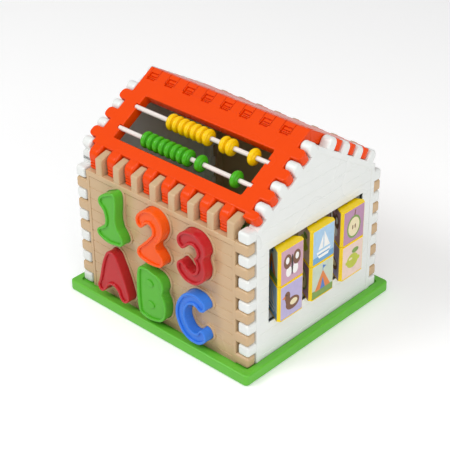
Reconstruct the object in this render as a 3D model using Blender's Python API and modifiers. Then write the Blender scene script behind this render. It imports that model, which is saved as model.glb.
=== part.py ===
"""Toy house shape sorter: interlocking panels, push-through numbers and letters, an abacus roof
and a window of turning picture blocks. Metres, +Z up, the ridge along X, the lettered wall facing -Y."""

import math

import bmesh
import bpy
from mathutils import Matrix, Vector

# Shared sizes
PITCH = 0.013
GAP = 0.0003
TRIM_RISE = 0.0006
SKIN = 0.004
SEAT = 0.003
BURIED = 0.001
OVERSHOOT = 0.002

# House
HOUSE_WIDTH = 0.2404
HOUSE_DEPTH = 0.204
TAB_ROWS = 12
ROOF_SLOPE = math.radians(31.4)
EAVE_HEIGHT = 0.01687
ROOF_THICKNESS = 0.0117

# Tray
TRAY_HEIGHT = 0.0124
TRAY_FLOOR = 0.0099
TRAY_SKIN = 0.0025
RIM_WIDTH = 0.0082
RIM_SIDE_ROOM = 0.0004
RIM_FRONT_ROOM = 0.0039
TRAY_CORNER = 0.0045
TRAY_EDGE = 0.002
POCKETS = 3
RIB = 0.002

# Walls
FRONT_TAB_DEPTH = 0.0122
GABLE_TAB_DEPTH = 0.014
TAB_CHAMFER = 0.0016
TAB_ROOT = 0.0022
TAB_SHORT = 0.0016
BAR_WIDTH = 0.004
BAR_ROOM = 0.0023
GABLE_BAR_WIDTH = 0.0055
LEDGE_HEIGHT = 0.0063
LEDGE_RISE = 0.0012
GROOVE_WIDTH = 0.001
GROOVE_DEPTH = 0.0007
GROOVE_MARGIN = 0.0035

# Fingers and prongs at the roof's edges
FINGER_WIDTH = 0.0093
FINGER_RUN = 0.016
FINGER_RISE = 0.001
FINGER_SINK = 0.0037
FINGER_CHAMFER = 0.0014
FINGER_FOOT = 0.008
PRONG_WIDTH = 0.0132
PRONG_SETBACK = 0.005
PRONG_DEPTH = 0.0095
PRONG_BEND = 0.009
PRONG_TIP = 0.003
PRONG_CHAMFER = 0.002
LAP_INSET = 0.00025
RIDGE_RUN = 0.0122
RIDGE_ROUND = 0.003

# Pegs on the gables and lobes on the roof
PEG_LENGTH = 0.012
PEG_RISE = 0.0005
PEG_STEPS = 6
PEG_CHAMFER = 0.0016
PEG_SPACING = 0.02535
PEGS = 4
FIRST_PEG_NEAR = 0.01565
FIRST_PEG_FAR = 0.02715
RIM_BAND = 0.0065
CORNER_LOBE_END = 0.1086
LOBE_ROUND = 0.0045
NOTCH_ROUND = 0.001
LOBE_SETBACK = 0.0004
ROUND_STEPS = 2
ROOF_CHAMFER = 0.0008

# Roof window and abacus
ROOF_BORDER = 0.0199
ROOF_WINDOW_TOP = 0.0338
ROOF_WINDOW_LOW = 0.0895
ROD_RADIUS = 0.0025
ROD_SEAT = 0.0036
ROD_STEPS = 16
UPPER_ROD_DOWN = 0.0478
LOWER_ROD_DOWN = 0.0762
BEAD_RADIUS = 0.009
BEAD_RIM = 0.0012
BEAD_HUB = 0.006
BEAD_WIDTH = 0.008
BEAD_BORE = 0.0029
BEAD_STEPS = 12
UPPER_TRAIN_SHARES = ((0.4887, 7), (0.6425, 2), (0.8672, 1))
LOWER_TRAIN_SHARES = ((0.3532, 8), (0.4436, 1), (0.8575, 1))

# Gable window and picture blocks
WINDOW_HALF = 0.0722
WINDOW_LOW = 0.0514
FRAME_WIDTH = 0.0059
BLOCK_SIDE = 0.0416
BLOCK_HEIGHT = 0.041
BLOCK_EDGE = 0.0016
BLOCK_PROUD = 0.0091
BLOCK_SPACING = 0.0481
BLOCK_HEADROOM = 0.0025
BLOCK_ROD_RADIUS = 0.0015
BLOCK_ROD_SEAT = 0.0045
BLOCK_BORE_STEPS = 12

# Numbers and letters
GLYPH_SIZE = 0.0637
GLYPH_STEPS = 2
GLYPH_ROOM = 0.0004
GLYPH_PROUD = 0.0126
GLYPH_DEPTH = 0.0231
GLYPH_EDGE = 0.0012
COLLAR_WALL = 0.0022
LIP_RISE = 0.001
TRAY_RIM = 0.0026
TRAY_SINK = 0.0015
BOSS_RISE = 0.0009
NUMBER_ROW = 0.1181
LETTER_ROW = 0.0479
COLUMN_STEP = 0.0577
COLUMN_SHARES = (-1.0373, -0.0165, 0.961)
THREE_SHIFT = 0.001
C_SHIFT = -0.002

# Outlines as shares of the glyph size, from its middle
ONE_SHARES = (
    (-0.171, -0.477), (-0.305, -0.359), (-0.183, -0.239), (-0.098, -0.171), (-0.098, 0.083), (-0.174, 0.13),
    (-0.265, 0.221), (-0.183, 0.311), (0.021, 0.447), (0.098, 0.475), (0.16, 0.445), (0.175, 0.358),
    (0.176, -0.138), (0.249, -0.233), (0.305, -0.35), (0.263, -0.442), (0.166, -0.475),
)
TWO_SHARES = (
    (-0.206, 0.105), (-0.295, 0.203), (-0.193, 0.402), (0.001, 0.485), (0.213, 0.411), (0.295, 0.228),
    (0.237, 0.04), (0.135, -0.134), (0.221, -0.216), (0.295, -0.331), (0.242, -0.443), (0.174, -0.476),
    (-0.183, -0.476), (-0.288, -0.417), (-0.286, -0.309), (-0.191, -0.197), (-0.03, -0.025), (0.065, 0.129),
    (0.011, 0.232), (-0.072, 0.222), (-0.136, 0.149),
)
THREE_SHARES = (
    (-0.203, 0.114), (-0.295, 0.224), (-0.223, 0.382), (-0.018, 0.465), (0.195, 0.41), (0.305, 0.217),
    (0.255, 0.051), (0.295, -0.138), (0.212, -0.353), (-0.03, -0.465), (-0.252, -0.372), (-0.315, -0.223),
    (-0.242, -0.124), (-0.151, -0.152), (-0.048, -0.234), (0.053, -0.231), (0.11, -0.14), (0.1, -0.045),
    (0.062, 0.026), (0.108, 0.09), (0.12, 0.165), (0.047, 0.244), (-0.074, 0.211), (-0.134, 0.141),
)
A_SHARES = (
    (-0.305, -0.445), (-0.375, -0.355), (-0.336, -0.238), (-0.158, 0.319), (-0.085, 0.42), (-0.002, 0.445),
    (0.093, 0.401), (0.148, 0.309), (0.356, -0.207), (0.375, -0.316), (0.324, -0.411), (0.234, -0.445),
    (0.159, -0.384), (0.097, -0.262), (-0.021, -0.215), (-0.117, -0.261), (-0.197, -0.381),
)
B_SHARES = (
    (-0.25, -0.457), (-0.307, -0.4), (-0.306, 0.392), (-0.259, 0.458), (0.046, 0.455), (0.203, 0.401),
    (0.265, 0.267), (0.235, 0.117), (0.296, -0.016), (0.305, -0.166), (0.231, -0.374), (0.084, -0.456),
)
C_SHARES = (
    (-0.325, -0.001), (-0.239, 0.257), (-0.068, 0.428), (0.089, 0.465), (0.254, 0.42), (0.325, 0.294),
    (0.216, 0.195), (0.126, 0.244), (0.01, 0.243), (-0.092, 0.132), (-0.125, -0.011), (-0.082, -0.153),
    (0.022, -0.254), (0.13, -0.243), (0.22, -0.155), (0.326, -0.256), (0.272, -0.382), (0.059, -0.465),
    (-0.146, -0.399), (-0.277, -0.229),
)
B_BOSS_SHARES = ((-0.08, -0.05), (-0.08, 0.05), (0.02, 0.045), (0.05, 0), (0.02, -0.045))
B_BOSS_PLACES_SHARES = ((-0.03, 0.22), (-0.02, -0.19))

# Colours
BEIGE = "CBAA80"
WHITE = "E9EBE8"
ROOF_ORANGE = "F9581A"
TRAY_GREEN = "72C846"
BLOCK_YELLOW = "F8D020"
BEAD_YELLOW = "F5B81E"
BEAD_GREEN = "3FA035"
GLYPH_GREEN = "4DB83C"
GLYPH_ORANGE = "FF6A20"
GLYPH_RED = "B5262C"
GLYPH_BLUE = "2F6BD8"
ROD_WHITE = "EFEDE8"
ROD_STEEL = "B9BCC0"
PLASTIC_ROUGHNESS = 0.35
STEEL_ROUGHNESS = 0.3

# Derived places
half_width = HOUSE_WIDTH / 2
half_depth = HOUSE_DEPTH / 2
wall_base = TRAY_FLOOR + GAP
ledge_top = wall_base + (TAB_ROWS - 1) * PITCH
front_trim = half_depth + TRIM_RISE
ridge_height = ledge_top + EAVE_HEIGHT + front_trim * math.tan(ROOF_SLOPE)
gable_trim = half_width + TRIM_RISE
peg_inner = half_width - PEG_LENGTH
slab_half = peg_inner - GAP
fingers = int((slab_half + GAP) / PITCH)
comb_half = fingers * PITCH
roof_window_half = slab_half - ROOF_BORDER
columns = [share * COLUMN_STEP for share in COLUMN_SHARES]
piece_half = PITCH / 2 - GAP
gable_half = front_trim - FRONT_TAB_DEPTH
finger_half = FINGER_WIDTH / 2
prong_half = PRONG_WIDTH / 2
bar_outer = half_width - GABLE_TAB_DEPTH - BAR_ROOM
finger_bend = (front_trim - FINGER_RISE * math.sin(ROOF_SLOPE)) / math.cos(ROOF_SLOPE)
finger_end = finger_bend - FINGER_RUN
slab_top = RIDGE_RUN + GAP
slab_low = finger_end - GAP
window_high = WINDOW_LOW + 2 * (BLOCK_HEIGHT + GAP) + BLOCK_HEADROOM
block_reach = BLOCK_SIDE / math.sqrt(3)
block_axis = half_width + BLOCK_PROUD - block_reach / 2
rod_depth = ROD_RADIUS + GAP


def clear_scene():
    for obj in list(bpy.data.objects):
        bpy.data.objects.remove(obj, do_unlink=True)


clear_scene()
part = bpy.data.collections.new("shape_sorter")
cutters = bpy.data.collections.new("cutters")
bpy.context.scene.collection.children.link(part)
bpy.context.scene.collection.children.link(cutters)
cutters.hide_render = True


def axes(origin, across, up):
    """The matrix whose local x and y run along across and up."""
    x = Vector(across)
    y = Vector(up)
    turn = Matrix((x, y, x.cross(y))).transposed().to_4x4()
    return Matrix.Translation(origin) @ turn


HALF_TURN = Matrix.Rotation(math.pi, 4, "Z")
FLAT = Matrix.Identity(4)
WALL = axes((0, 0, 0), (1, 0, 0), (0, 0, 1))
PROFILE = axes((0, 0, 0), (0, 1, 0), (0, 0, 1))
SLOPE = axes(
    (0, 0, ridge_height), (1, 0, 0), (0, math.cos(ROOF_SLOPE), math.sin(ROOF_SLOPE))
)


def linear(code):
    """An sRGB hex code as the linear colour that a shader takes."""
    whole = int("FF", 16)
    found = []
    for start in (0, 2, 4):
        share = int(code[start : start + 2], 16) / whole
        found.append(share / 12.92 if share <= 0.04045 else ((share + 0.055) / 1.055) ** 2.4)
    return (*found, 1)


def painted(obj, code, roughness=PLASTIC_ROUGHNESS, metallic=0):
    material = bpy.data.materials.new(obj.name)
    material.use_nodes = True
    shader = material.node_tree.nodes["Principled BSDF"]
    shader.inputs["Base Color"].default_value = linear(code)
    shader.inputs["Roughness"].default_value = roughness
    shader.inputs["Metallic"].default_value = metallic
    material.diffuse_color = linear(code)
    obj.data.materials.clear()
    obj.data.materials.append(material)
    return obj


def group(name):
    found = bpy.data.collections.new(name)
    cutters.children.link(found)
    return found


def added(name, mesh, matrix, home):
    obj = bpy.data.objects.new(name, mesh)
    obj.matrix_world = matrix
    home.objects.link(obj)
    if home != part:
        obj.hide_render = True
        obj.display_type = "WIRE"
    return obj


def chamfered(obj, width, segments=1):
    bevel = obj.modifiers.new("edges", "BEVEL")
    bevel.width = width
    bevel.segments = segments
    bevel.limit_method = "ANGLE"
    bevel.angle_limit = math.radians(50)
    return obj


def block(name, low, high, matrix, home):
    """A box between two corners of the matrix's frame."""
    low = Vector(low)
    high = Vector(high)
    mesh = bpy.data.meshes.new(name)
    shape = bmesh.new()
    bmesh.ops.create_cube(shape, size=1)
    bmesh.ops.scale(shape, vec=high - low, verts=shape.verts)
    shape.to_mesh(mesh)
    shape.free()
    return added(name, mesh, matrix @ Matrix.Translation((low + high) / 2), home)


def cylinder(name, radius, length, steps, matrix, home):
    """A round bar along the matrix's z axis, centred on it."""
    mesh = bpy.data.meshes.new(name)
    shape = bmesh.new()
    bmesh.ops.create_cone(
        shape, cap_ends=True, segments=steps, radius1=radius, radius2=radius, depth=length
    )
    shape.to_mesh(mesh)
    shape.free()
    return smooth(added(name, mesh, matrix, home))


def smooth(obj):
    for face in obj.data.polygons:
        face.use_smooth = True
    obj.data.set_sharp_from_angle(angle=math.radians(35))
    return obj


def meshed(name, curve, matrix, home):
    """A filled curve as a welded mesh object."""
    guide = bpy.data.objects.new(name, curve)
    mesh = bpy.data.meshes.new_from_object(guide)
    bpy.data.objects.remove(guide, do_unlink=True)
    bpy.data.curves.remove(curve)
    shape = bmesh.new()
    shape.from_mesh(mesh)
    bmesh.ops.remove_doubles(shape, verts=shape.verts, dist=GAP / 100)
    bmesh.ops.recalc_face_normals(shape, faces=shape.faces)
    shape.to_mesh(mesh)
    shape.free()
    mesh.name = name
    return added(name, mesh, matrix, home)


def flat_curve(name, low, high):
    curve = bpy.data.curves.new(name, "CURVE")
    curve.dimensions = "2D"
    curve.fill_mode = "BOTH"
    curve.extrude = (high - low) / 2
    return curve


def sheet(name, loops, low, high, matrix, home):
    """Closed outlines, filled and given the thickness from low to high along z."""
    curve = flat_curve(name, low, high)
    for loop in loops:
        spline = curve.splines.new("POLY")
        spline.points.add(len(loop) - 1)
        spline.use_cyclic_u = True
        for point, (x, y) in zip(spline.points, loop):
            point.co = (x, y, 0, 1)
    middle = Matrix.Translation((0, 0, (low + high) / 2))
    return meshed(name, curve, matrix @ middle, home)


def glyph(name, shares, centre, offset, low, high, home, edge=0, matrix=WALL):
    """A smooth outline from shares of the glyph size, moved out by offset."""
    curve = flat_curve(name, low + edge, high - edge)
    curve.resolution_u = GLYPH_STEPS
    curve.offset = offset - edge
    curve.bevel_depth = edge
    curve.bevel_resolution = 0
    spline = curve.splines.new("BEZIER")
    spline.bezier_points.add(len(shares) - 1)
    spline.use_cyclic_u = True
    for point, (x, y) in zip(spline.bezier_points, shares):
        point.co = (x * GLYPH_SIZE, y * GLYPH_SIZE, 0)
        point.handle_left_type = "AUTO"
        point.handle_right_type = "AUTO"
    middle = Matrix.Translation((centre[0], centre[1], (low + high) / 2))
    return meshed(name, curve, matrix @ middle, home)


def rounded(corners):
    """The outline through (x, y, radius) corners, with an arc at each one that has a radius."""
    found = []
    count = len(corners)
    for i, (x, y, radius) in enumerate(corners):
        here = Vector((x, y))
        if not radius:
            found.append((x, y))
            continue
        before = (Vector(corners[i - 1][:2]) - here).normalized()
        after = (Vector(corners[(i + 1) % count][:2]) - here).normalized()
        half = before.angle(after) / 2
        middle = here + (before + after).normalized() * radius / math.sin(half)
        start = here + before * radius / math.tan(half) - middle
        end = here + after * radius / math.tan(half) - middle
        sweep = start.angle_signed(end)
        for step in range(ROUND_STEPS + 1):
            turn = Matrix.Rotation(-sweep * step / ROUND_STEPS, 2)
            point = middle + turn @ start
            found.append((point.x, point.y))
    return found


def rectangle(low, high, radius=0):
    (x0, y0), (x1, y1) = low, high
    return rounded([(x0, y0, radius), (x1, y0, radius), (x1, y1, radius), (x0, y1, radius)])


def boolean(obj, operation, home):
    modifier = obj.modifiers.new(operation.lower(), "BOOLEAN")
    modifier.operation = operation
    modifier.operand_type = "COLLECTION"
    modifier.collection = home
    modifier.solver = "EXACT"
    return obj


def on_roof(down, out, side=-1):
    """The (y, z) of a point this far down the slope and out from the roof's face."""
    y = down * math.cos(ROOF_SLOPE) + out * math.sin(ROOF_SLOPE)
    z = ridge_height - down * math.sin(ROOF_SLOPE) + out * math.cos(ROOF_SLOPE)
    return side * y, z


def roof_line(out, y):
    """The height at y of the plane this far out from the roof's face."""
    return ridge_height + out / math.cos(ROOF_SLOPE) - abs(y) * math.tan(ROOF_SLOPE)


def tab_height(row):
    return wall_base + (row + 0.5) * PITCH


def comb_centre(index, shift):
    """The middle of one of the comb's pieces, which take every second pitch."""
    return (2 * index - fingers + 0.5 + shift) * PITCH


# Tray

tray_x = gable_trim + RIM_SIDE_ROOM
tray_y = front_trim + RIM_FRONT_ROOM


def build_tray():
    outer_x = tray_x + RIM_WIDTH
    outer_y = tray_y + RIM_WIDTH
    outline = rectangle((-outer_x, -outer_y), (outer_x, outer_y), TRAY_CORNER)
    tray = sheet("base_tray", [outline], 0, TRAY_HEIGHT, FLAT, part)
    chamfered(tray, TRAY_EDGE)
    cut = group("tray_cut")
    inner = rectangle((-tray_x, -tray_y), (tray_x, tray_y), TRAY_CORNER)
    sheet("tray_recess", [inner], TRAY_FLOOR, TRAY_HEIGHT + OVERSHOOT, FLAT, cut)
    reach_x = outer_x - TRAY_SKIN - RIB
    reach_y = outer_y - TRAY_SKIN - RIB
    step_x = (2 * reach_x + RIB) / POCKETS
    step_y = (2 * reach_y + RIB) / POCKETS
    for column in range(POCKETS):
        for row in range(POCKETS):
            x = -reach_x + column * step_x
            y = -reach_y + row * step_y
            block(
                f"tray_pocket_{column}_{row}",
                (x, y, -OVERSHOOT),
                (x + step_x - RIB, y + step_y - RIB, TRAY_FLOOR - TRAY_SKIN),
                FLAT,
                cut,
            )
    boolean(tray, "DIFFERENCE", cut)
    painted(tray, TRAY_GREEN)


# Long walls

GLYPHS = (
    ("number_one", ONE_SHARES, (columns[0], NUMBER_ROW), GLYPH_GREEN),
    ("number_two", TWO_SHARES, (columns[1], NUMBER_ROW), GLYPH_ORANGE),
    ("number_three", THREE_SHARES, (columns[2] + THREE_SHIFT, NUMBER_ROW), GLYPH_RED),
    ("letter_a", A_SHARES, (columns[0], LETTER_ROW), GLYPH_RED),
    ("letter_b", B_SHARES, (columns[1], LETTER_ROW), GLYPH_GREEN),
    ("letter_c", C_SHARES, (columns[2] + C_SHIFT, LETTER_ROW), GLYPH_BLUE),
)


def finger_outline():
    """A wall finger: upright to its bend, then sinking between the roof's prongs."""
    inner = front_trim - FRONT_TAB_DEPTH
    foot = ledge_top - LEDGE_HEIGHT / 2
    return [
        (-front_trim, foot),
        (-front_trim, roof_line(FINGER_RISE, front_trim)),
        on_roof(finger_end, -FINGER_SINK),
        on_roof(finger_end, LAP_INSET - ROOF_THICKNESS),
        (-inner, ledge_top + FINGER_FOOT),
        (-inner, foot),
    ]


def build_wall(name, turn, with_glyphs):
    wall_matrix = turn @ WALL
    inner = half_depth - SKIN
    plank_half = bar_outer - BAR_WIDTH
    wall = block(
        name,
        (-plank_half - SEAT / 2, wall_base, inner),
        (plank_half + SEAT / 2, ledge_top - BURIED, half_depth),
        wall_matrix,
        part,
    )
    grooves = group(name + "_grooves")
    for row in range(TAB_ROWS - 1):
        z = tab_height(row)
        block(
            f"{name}_groove_{row}",
            (-plank_half - SEAT, z - GROOVE_WIDTH / 2, half_depth - GROOVE_DEPTH),
            (plank_half + SEAT, z + GROOVE_WIDTH / 2, half_depth + OVERSHOOT),
            wall_matrix,
            grooves,
        )
    boolean(wall, "DIFFERENCE", grooves)

    joined = group(name + "_joined")
    depth = front_trim - FRONT_TAB_DEPTH
    for side in (-1, 1):
        x = sorted((side * bar_outer, side * plank_half))
        block(
            f"{name}_bar_{side}",
            (x[0], wall_base, depth),
            (x[1], ledge_top - BURIED, front_trim),
            wall_matrix,
            joined,
        )
        x = sorted((side * (bar_outer - TAB_ROOT), side * (half_width - TAB_SHORT)))
        for row in range((side < 0), TAB_ROWS - 1, 2):
            z = tab_height(row)
            tab = block(
                f"{name}_tab_{side}_{row}",
                (x[0], z - piece_half, depth + GAP),
                (x[1], z + piece_half, front_trim + TRIM_RISE / 2),
                wall_matrix,
                joined,
            )
            chamfered(tab, TAB_CHAMFER)
    block(
        name + "_ledge",
        (-bar_outer, ledge_top - LEDGE_HEIGHT, depth),
        (bar_outer, ledge_top, half_depth + LEDGE_RISE),
        wall_matrix,
        joined,
    )
    for index in range(fingers):
        x = comb_centre(index, 1)
        finger = sheet(
            f"{name}_finger_{index}",
            [finger_outline()],
            x - finger_half,
            x + finger_half,
            turn @ PROFILE,
            joined,
        )
        chamfered(finger, FINGER_CHAMFER)
    if with_glyphs:
        holes = group(name + "_holes")
        for glyph_name, shares, centre, _ in GLYPHS:
            glyph(
                glyph_name + "_collar",
                shares,
                centre,
                GLYPH_ROOM + COLLAR_WALL,
                depth + TRIM_RISE,
                front_trim + LIP_RISE,
                joined,
            )
            glyph(
                glyph_name + "_hole",
                shares,
                centre,
                GLYPH_ROOM,
                depth - OVERSHOOT,
                front_trim + LIP_RISE + OVERSHOOT,
                holes,
            )
    boolean(wall, "UNION", joined)
    if with_glyphs:
        boolean(wall, "DIFFERENCE", holes)
    painted(wall, BEIGE)


def build_glyphs():
    face = half_depth + GLYPH_PROUD
    for name, shares, centre, colour in GLYPHS:
        piece = glyph(
            name, shares, centre, 0, face - GLYPH_DEPTH, face, part, edge=GLYPH_EDGE
        )
        sunk = group(name + "_sunk")
        glyph(
            name + "_tray", shares, centre, -TRAY_RIM, face - TRAY_SINK, face + OVERSHOOT, sunk
        )
        boolean(piece, "DIFFERENCE", sunk)
        if name == "letter_b":
            bosses = group(name + "_bosses")
            for index, (x, y) in enumerate(B_BOSS_PLACES_SHARES):
                place = (centre[0] + x * GLYPH_SIZE, centre[1] + y * GLYPH_SIZE)
                low = face - TRAY_SINK - BURIED
                high = face - TRAY_SINK + BOSS_RISE
                glyph(f"{name}_boss_{index}", B_BOSS_SHARES, place, 0, low, high, bosses)
            boolean(piece, "UNION", bosses)
        painted(piece, colour)
        smooth(piece)


# Gables

roof_under = -ROOF_THICKNESS - GAP


def peg_outline(centre, side):
    """An arch that stands up through the roof's edge."""
    spring = PEG_RISE - piece_half
    found = [on_roof(centre - piece_half, roof_under - SEAT, side)]
    for step in range(PEG_STEPS + 1):
        angle = math.pi * step / PEG_STEPS
        down = centre - piece_half * math.cos(angle)
        found.append(on_roof(down, spring + piece_half * math.sin(angle), side))
    found.append(on_roof(centre + piece_half, roof_under - SEAT, side))
    return found


def build_gable(name, turn, with_window):
    matrix = turn @ PROFILE
    outline = [
        (-gable_half + BURIED, wall_base),
        (gable_half - BURIED, wall_base),
        (gable_half - BURIED, roof_line(roof_under - BURIED, gable_half)),
        (0, roof_line(roof_under - BURIED, 0)),
        (-gable_half + BURIED, roof_line(roof_under - BURIED, gable_half)),
    ]
    opening = rectangle((-WINDOW_HALF, WINDOW_LOW), (WINDOW_HALF, window_high))
    loops = [outline, opening] if with_window else [outline]
    gable = sheet(name, loops, half_width - SKIN, half_width, matrix, part)

    grooves = group(name + "_grooves")
    row = 0
    while tab_height(row) < roof_line(roof_under - RIM_BAND, 0) - PITCH / 2:
        z = tab_height(row)
        slope_y = (roof_line(roof_under - RIM_BAND, 0) - z) / math.tan(ROOF_SLOPE)
        reach = min(gable_half, slope_y) - GROOVE_MARGIN
        block(
            f"{name}_groove_{row}",
            (-reach, z - GROOVE_WIDTH / 2, half_width - GROOVE_DEPTH),
            (reach, z + GROOVE_WIDTH / 2, half_width + OVERSHOOT),
            matrix,
            grooves,
        )
        row += 1
    boolean(gable, "DIFFERENCE", grooves)

    joined = group(name + "_joined")
    depth = half_width - GABLE_TAB_DEPTH
    band = [
        (-gable_half, roof_line(roof_under - RIM_BAND, gable_half)),
        (0, roof_line(roof_under - RIM_BAND, 0)),
        (gable_half, roof_line(roof_under - RIM_BAND, gable_half)),
        (gable_half, roof_line(roof_under, gable_half)),
        (0, roof_line(roof_under, 0)),
        (-gable_half, roof_line(roof_under, gable_half)),
    ]
    sheet(name + "_band", [band], peg_inner, gable_trim, matrix, joined)
    for side, first in ((-1, FIRST_PEG_NEAR), (1, FIRST_PEG_FAR)):
        y = sorted((side * gable_half, side * (gable_half - GABLE_BAR_WIDTH)))
        block(
            f"{name}_bar_{side}",
            (y[0], wall_base, depth),
            (y[1], roof_line(roof_under - RIM_BAND / 2, gable_half), gable_trim),
            matrix,
            joined,
        )
        y = sorted((side * (gable_half - TAB_ROOT), side * front_trim))
        for row in range((side < 0), TAB_ROWS, 2):
            z = tab_height(row)
            tab = block(
                f"{name}_tab_{side}_{row}",
                (y[0], z - piece_half, depth + TRIM_RISE / 2),
                (y[1], z + piece_half, gable_trim - TRIM_RISE / 2),
                matrix,
                joined,
            )
            chamfered(tab, TAB_CHAMFER)
        for index in range(PEGS):
            peg = sheet(
                f"{name}_peg_{side}_{index}",
                [peg_outline(first + index * PEG_SPACING, side)],
                peg_inner,
                gable_trim + TRIM_RISE / 2,
                matrix,
                joined,
            )
            chamfered(peg, PEG_CHAMFER)
    if with_window:
        outer = rectangle(
            (-WINDOW_HALF - FRAME_WIDTH, WINDOW_LOW - FRAME_WIDTH),
            (WINDOW_HALF + FRAME_WIDTH, window_high + FRAME_WIDTH),
        )
        inner = rectangle(
            (-WINDOW_HALF + GAP, WINDOW_LOW + GAP), (WINDOW_HALF - GAP, window_high - GAP)
        )
        sheet(name + "_frame", [outer, inner], depth, half_width - BURIED, matrix, joined)
    boolean(gable, "UNION", joined)
    if with_window:
        opened = group(name + "_opened")
        sheet(
            name + "_opening", [opening], depth - OVERSHOOT, gable_trim + OVERSHOOT, matrix, opened
        )
        for column in (-1, 0, 1):
            place = Matrix.Translation(
                (block_axis, column * BLOCK_SPACING, (WINDOW_LOW + window_high) / 2)
            )
            length = window_high - WINDOW_LOW + 2 * (BLOCK_ROD_SEAT + GAP)
            radius = BLOCK_ROD_RADIUS + GAP
            cylinder(
                f"{name}_bore_{column}", radius, length, BLOCK_BORE_STEPS, turn @ place, opened
            )
        boolean(gable, "DIFFERENCE", opened)
    painted(gable, WHITE)


# Roof

def side_edge(side, first):
    """One side of the slab, from the ridge down: notches for the pegs, lobes below each one."""
    far = half_width - LOBE_SETBACK
    near = slab_half
    half = PITCH / 2
    top = comb_half if side < 0 else comb_half - piece_half
    found = [(top, slab_top, 0), (top, 0, 0), (near, 0, 0)]
    for index in range(PEGS):
        centre = first + index * PEG_SPACING
        if index:
            found.append((far, centre - half, LOBE_ROUND))
            found.append((near, centre - half, NOTCH_ROUND))
        if centre + half > slab_low:
            found.append((near, slab_low, 0))
            break
        found.append((near, centre + half, NOTCH_ROUND))
        found.append((far, centre + half, LOBE_ROUND))
    else:
        found.append((far, CORNER_LOBE_END, LOBE_ROUND))
        found.append((comb_half, CORNER_LOBE_END, NOTCH_ROUND))
        found.append((comb_half, slab_low, 0))
    return [(side * x, -down, radius) for x, down, radius in found]


def ridge_outline():
    """A ridge finger: up one slope, over the ridge and down the other."""
    top = -LAP_INSET
    under = LAP_INSET - ROOF_THICKNESS
    corners = [
        on_roof(slab_top + SEAT, top),
        (0, roof_line(top, 0)),
        on_roof(RIDGE_RUN, top, 1),
        on_roof(RIDGE_RUN, under, 1),
        (0, roof_line(under, 0)),
        on_roof(slab_top + SEAT, under),
    ]
    radii = (0, RIDGE_ROUND, 0, 0, 0, 0)
    return rounded([(*corner, radius) for corner, radius in zip(corners, radii)])


def prong_outline():
    """An eave prong: down the slope, round the bend and down to the ledge."""
    outer = front_trim - PRONG_SETBACK
    inner = outer - PRONG_DEPTH
    under = LAP_INSET - ROOF_THICKNESS
    corners = [
        (*on_roof(slab_low - SEAT, -LAP_INSET), 0),
        (-outer, roof_line(-LAP_INSET, outer), PRONG_BEND),
        (-outer, ledge_top + GAP, PRONG_TIP),
        (-inner, ledge_top + GAP, 0),
        (-inner, roof_line(under, inner), 0),
        (*on_roof(slab_low - SEAT, under), 0),
    ]
    return rounded(corners)


def rod_groove_outline(down):
    """The open-topped seat of an abacus rod."""
    radius = ROD_RADIUS + GAP
    found = [on_roof(down - radius, OVERSHOOT)]
    for step in range(PEG_STEPS + 1):
        angle = math.pi * step / PEG_STEPS
        across = radius * math.cos(angle)
        deep = rod_depth + radius * math.sin(angle)
        found.append(on_roof(down - across, -deep))
    found.append(on_roof(down + radius, OVERSHOOT))
    return found


def build_roof(name, turn, with_window):
    matrix = turn @ SLOPE
    right = side_edge(1, FIRST_PEG_NEAR)
    left = side_edge(-1, FIRST_PEG_FAR)
    loops = [rounded(right + left[::-1])]
    if with_window:
        loops.append(
            rectangle(
                (-roof_window_half, -ROOF_WINDOW_LOW), (roof_window_half, -ROOF_WINDOW_TOP)
            )
        )
    roof = sheet(name, loops, -ROOF_THICKNESS, 0, matrix, part)
    chamfered(roof, ROOF_CHAMFER)
    cut = group(name + "_cut")
    block(
        name + "_mitre",
        (-half_width - OVERSHOOT, -GAP / 2, ridge_height - 3 * ROOF_THICKNESS),
        (half_width + OVERSHOOT, 2 * ROOF_THICKNESS, ridge_height + ROOF_THICKNESS),
        turn,
        cut,
    )
    if with_window:
        reach = roof_window_half + ROD_SEAT + GAP
        for down in (UPPER_ROD_DOWN, LOWER_ROD_DOWN):
            groove = [rod_groove_outline(down)]
            sheet(f"{name}_groove_{down}", groove, -reach, reach, turn @ PROFILE, cut)
    else:
        block(
            name + "_pocket",
            (-roof_window_half, -ROOF_WINDOW_LOW, -ROOF_THICKNESS - OVERSHOOT),
            (roof_window_half, -ROOF_WINDOW_TOP, -SKIN),
            matrix,
            cut,
        )
    boolean(roof, "DIFFERENCE", cut)
    joined = group(name + "_joined")
    for index in range(fingers):
        x = comb_centre(index, 1)
        wing = [ridge_outline()]
        low = x - piece_half
        high = x + piece_half
        sheet(f"{name}_ridge_{index}", wing, low, high, turn @ PROFILE, joined)
        x = comb_centre(index, 0)
        low = x - prong_half
        high = x + prong_half
        prong = sheet(
            f"{name}_prong_{index}", [prong_outline()], low, high, turn @ PROFILE, joined
        )
        chamfered(prong, PRONG_CHAMFER)
    boolean(roof, "UNION", joined)
    painted(roof, ROOF_ORANGE)


# Abacus

def bead_mesh():
    half = BEAD_WIDTH / 2
    profile = [
        (BEAD_BORE, half),
        (BEAD_HUB, half),
        (BEAD_RADIUS, BEAD_RIM),
        (BEAD_RADIUS, -BEAD_RIM),
        (BEAD_HUB, -half),
        (BEAD_BORE, -half),
    ]
    mesh = bpy.data.meshes.new("bead")
    points = [(radius, 0, z) for radius, z in profile]
    edges = [(i, (i + 1) % len(points)) for i in range(len(points))]
    mesh.from_pydata(points, edges, [])
    return mesh


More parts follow.
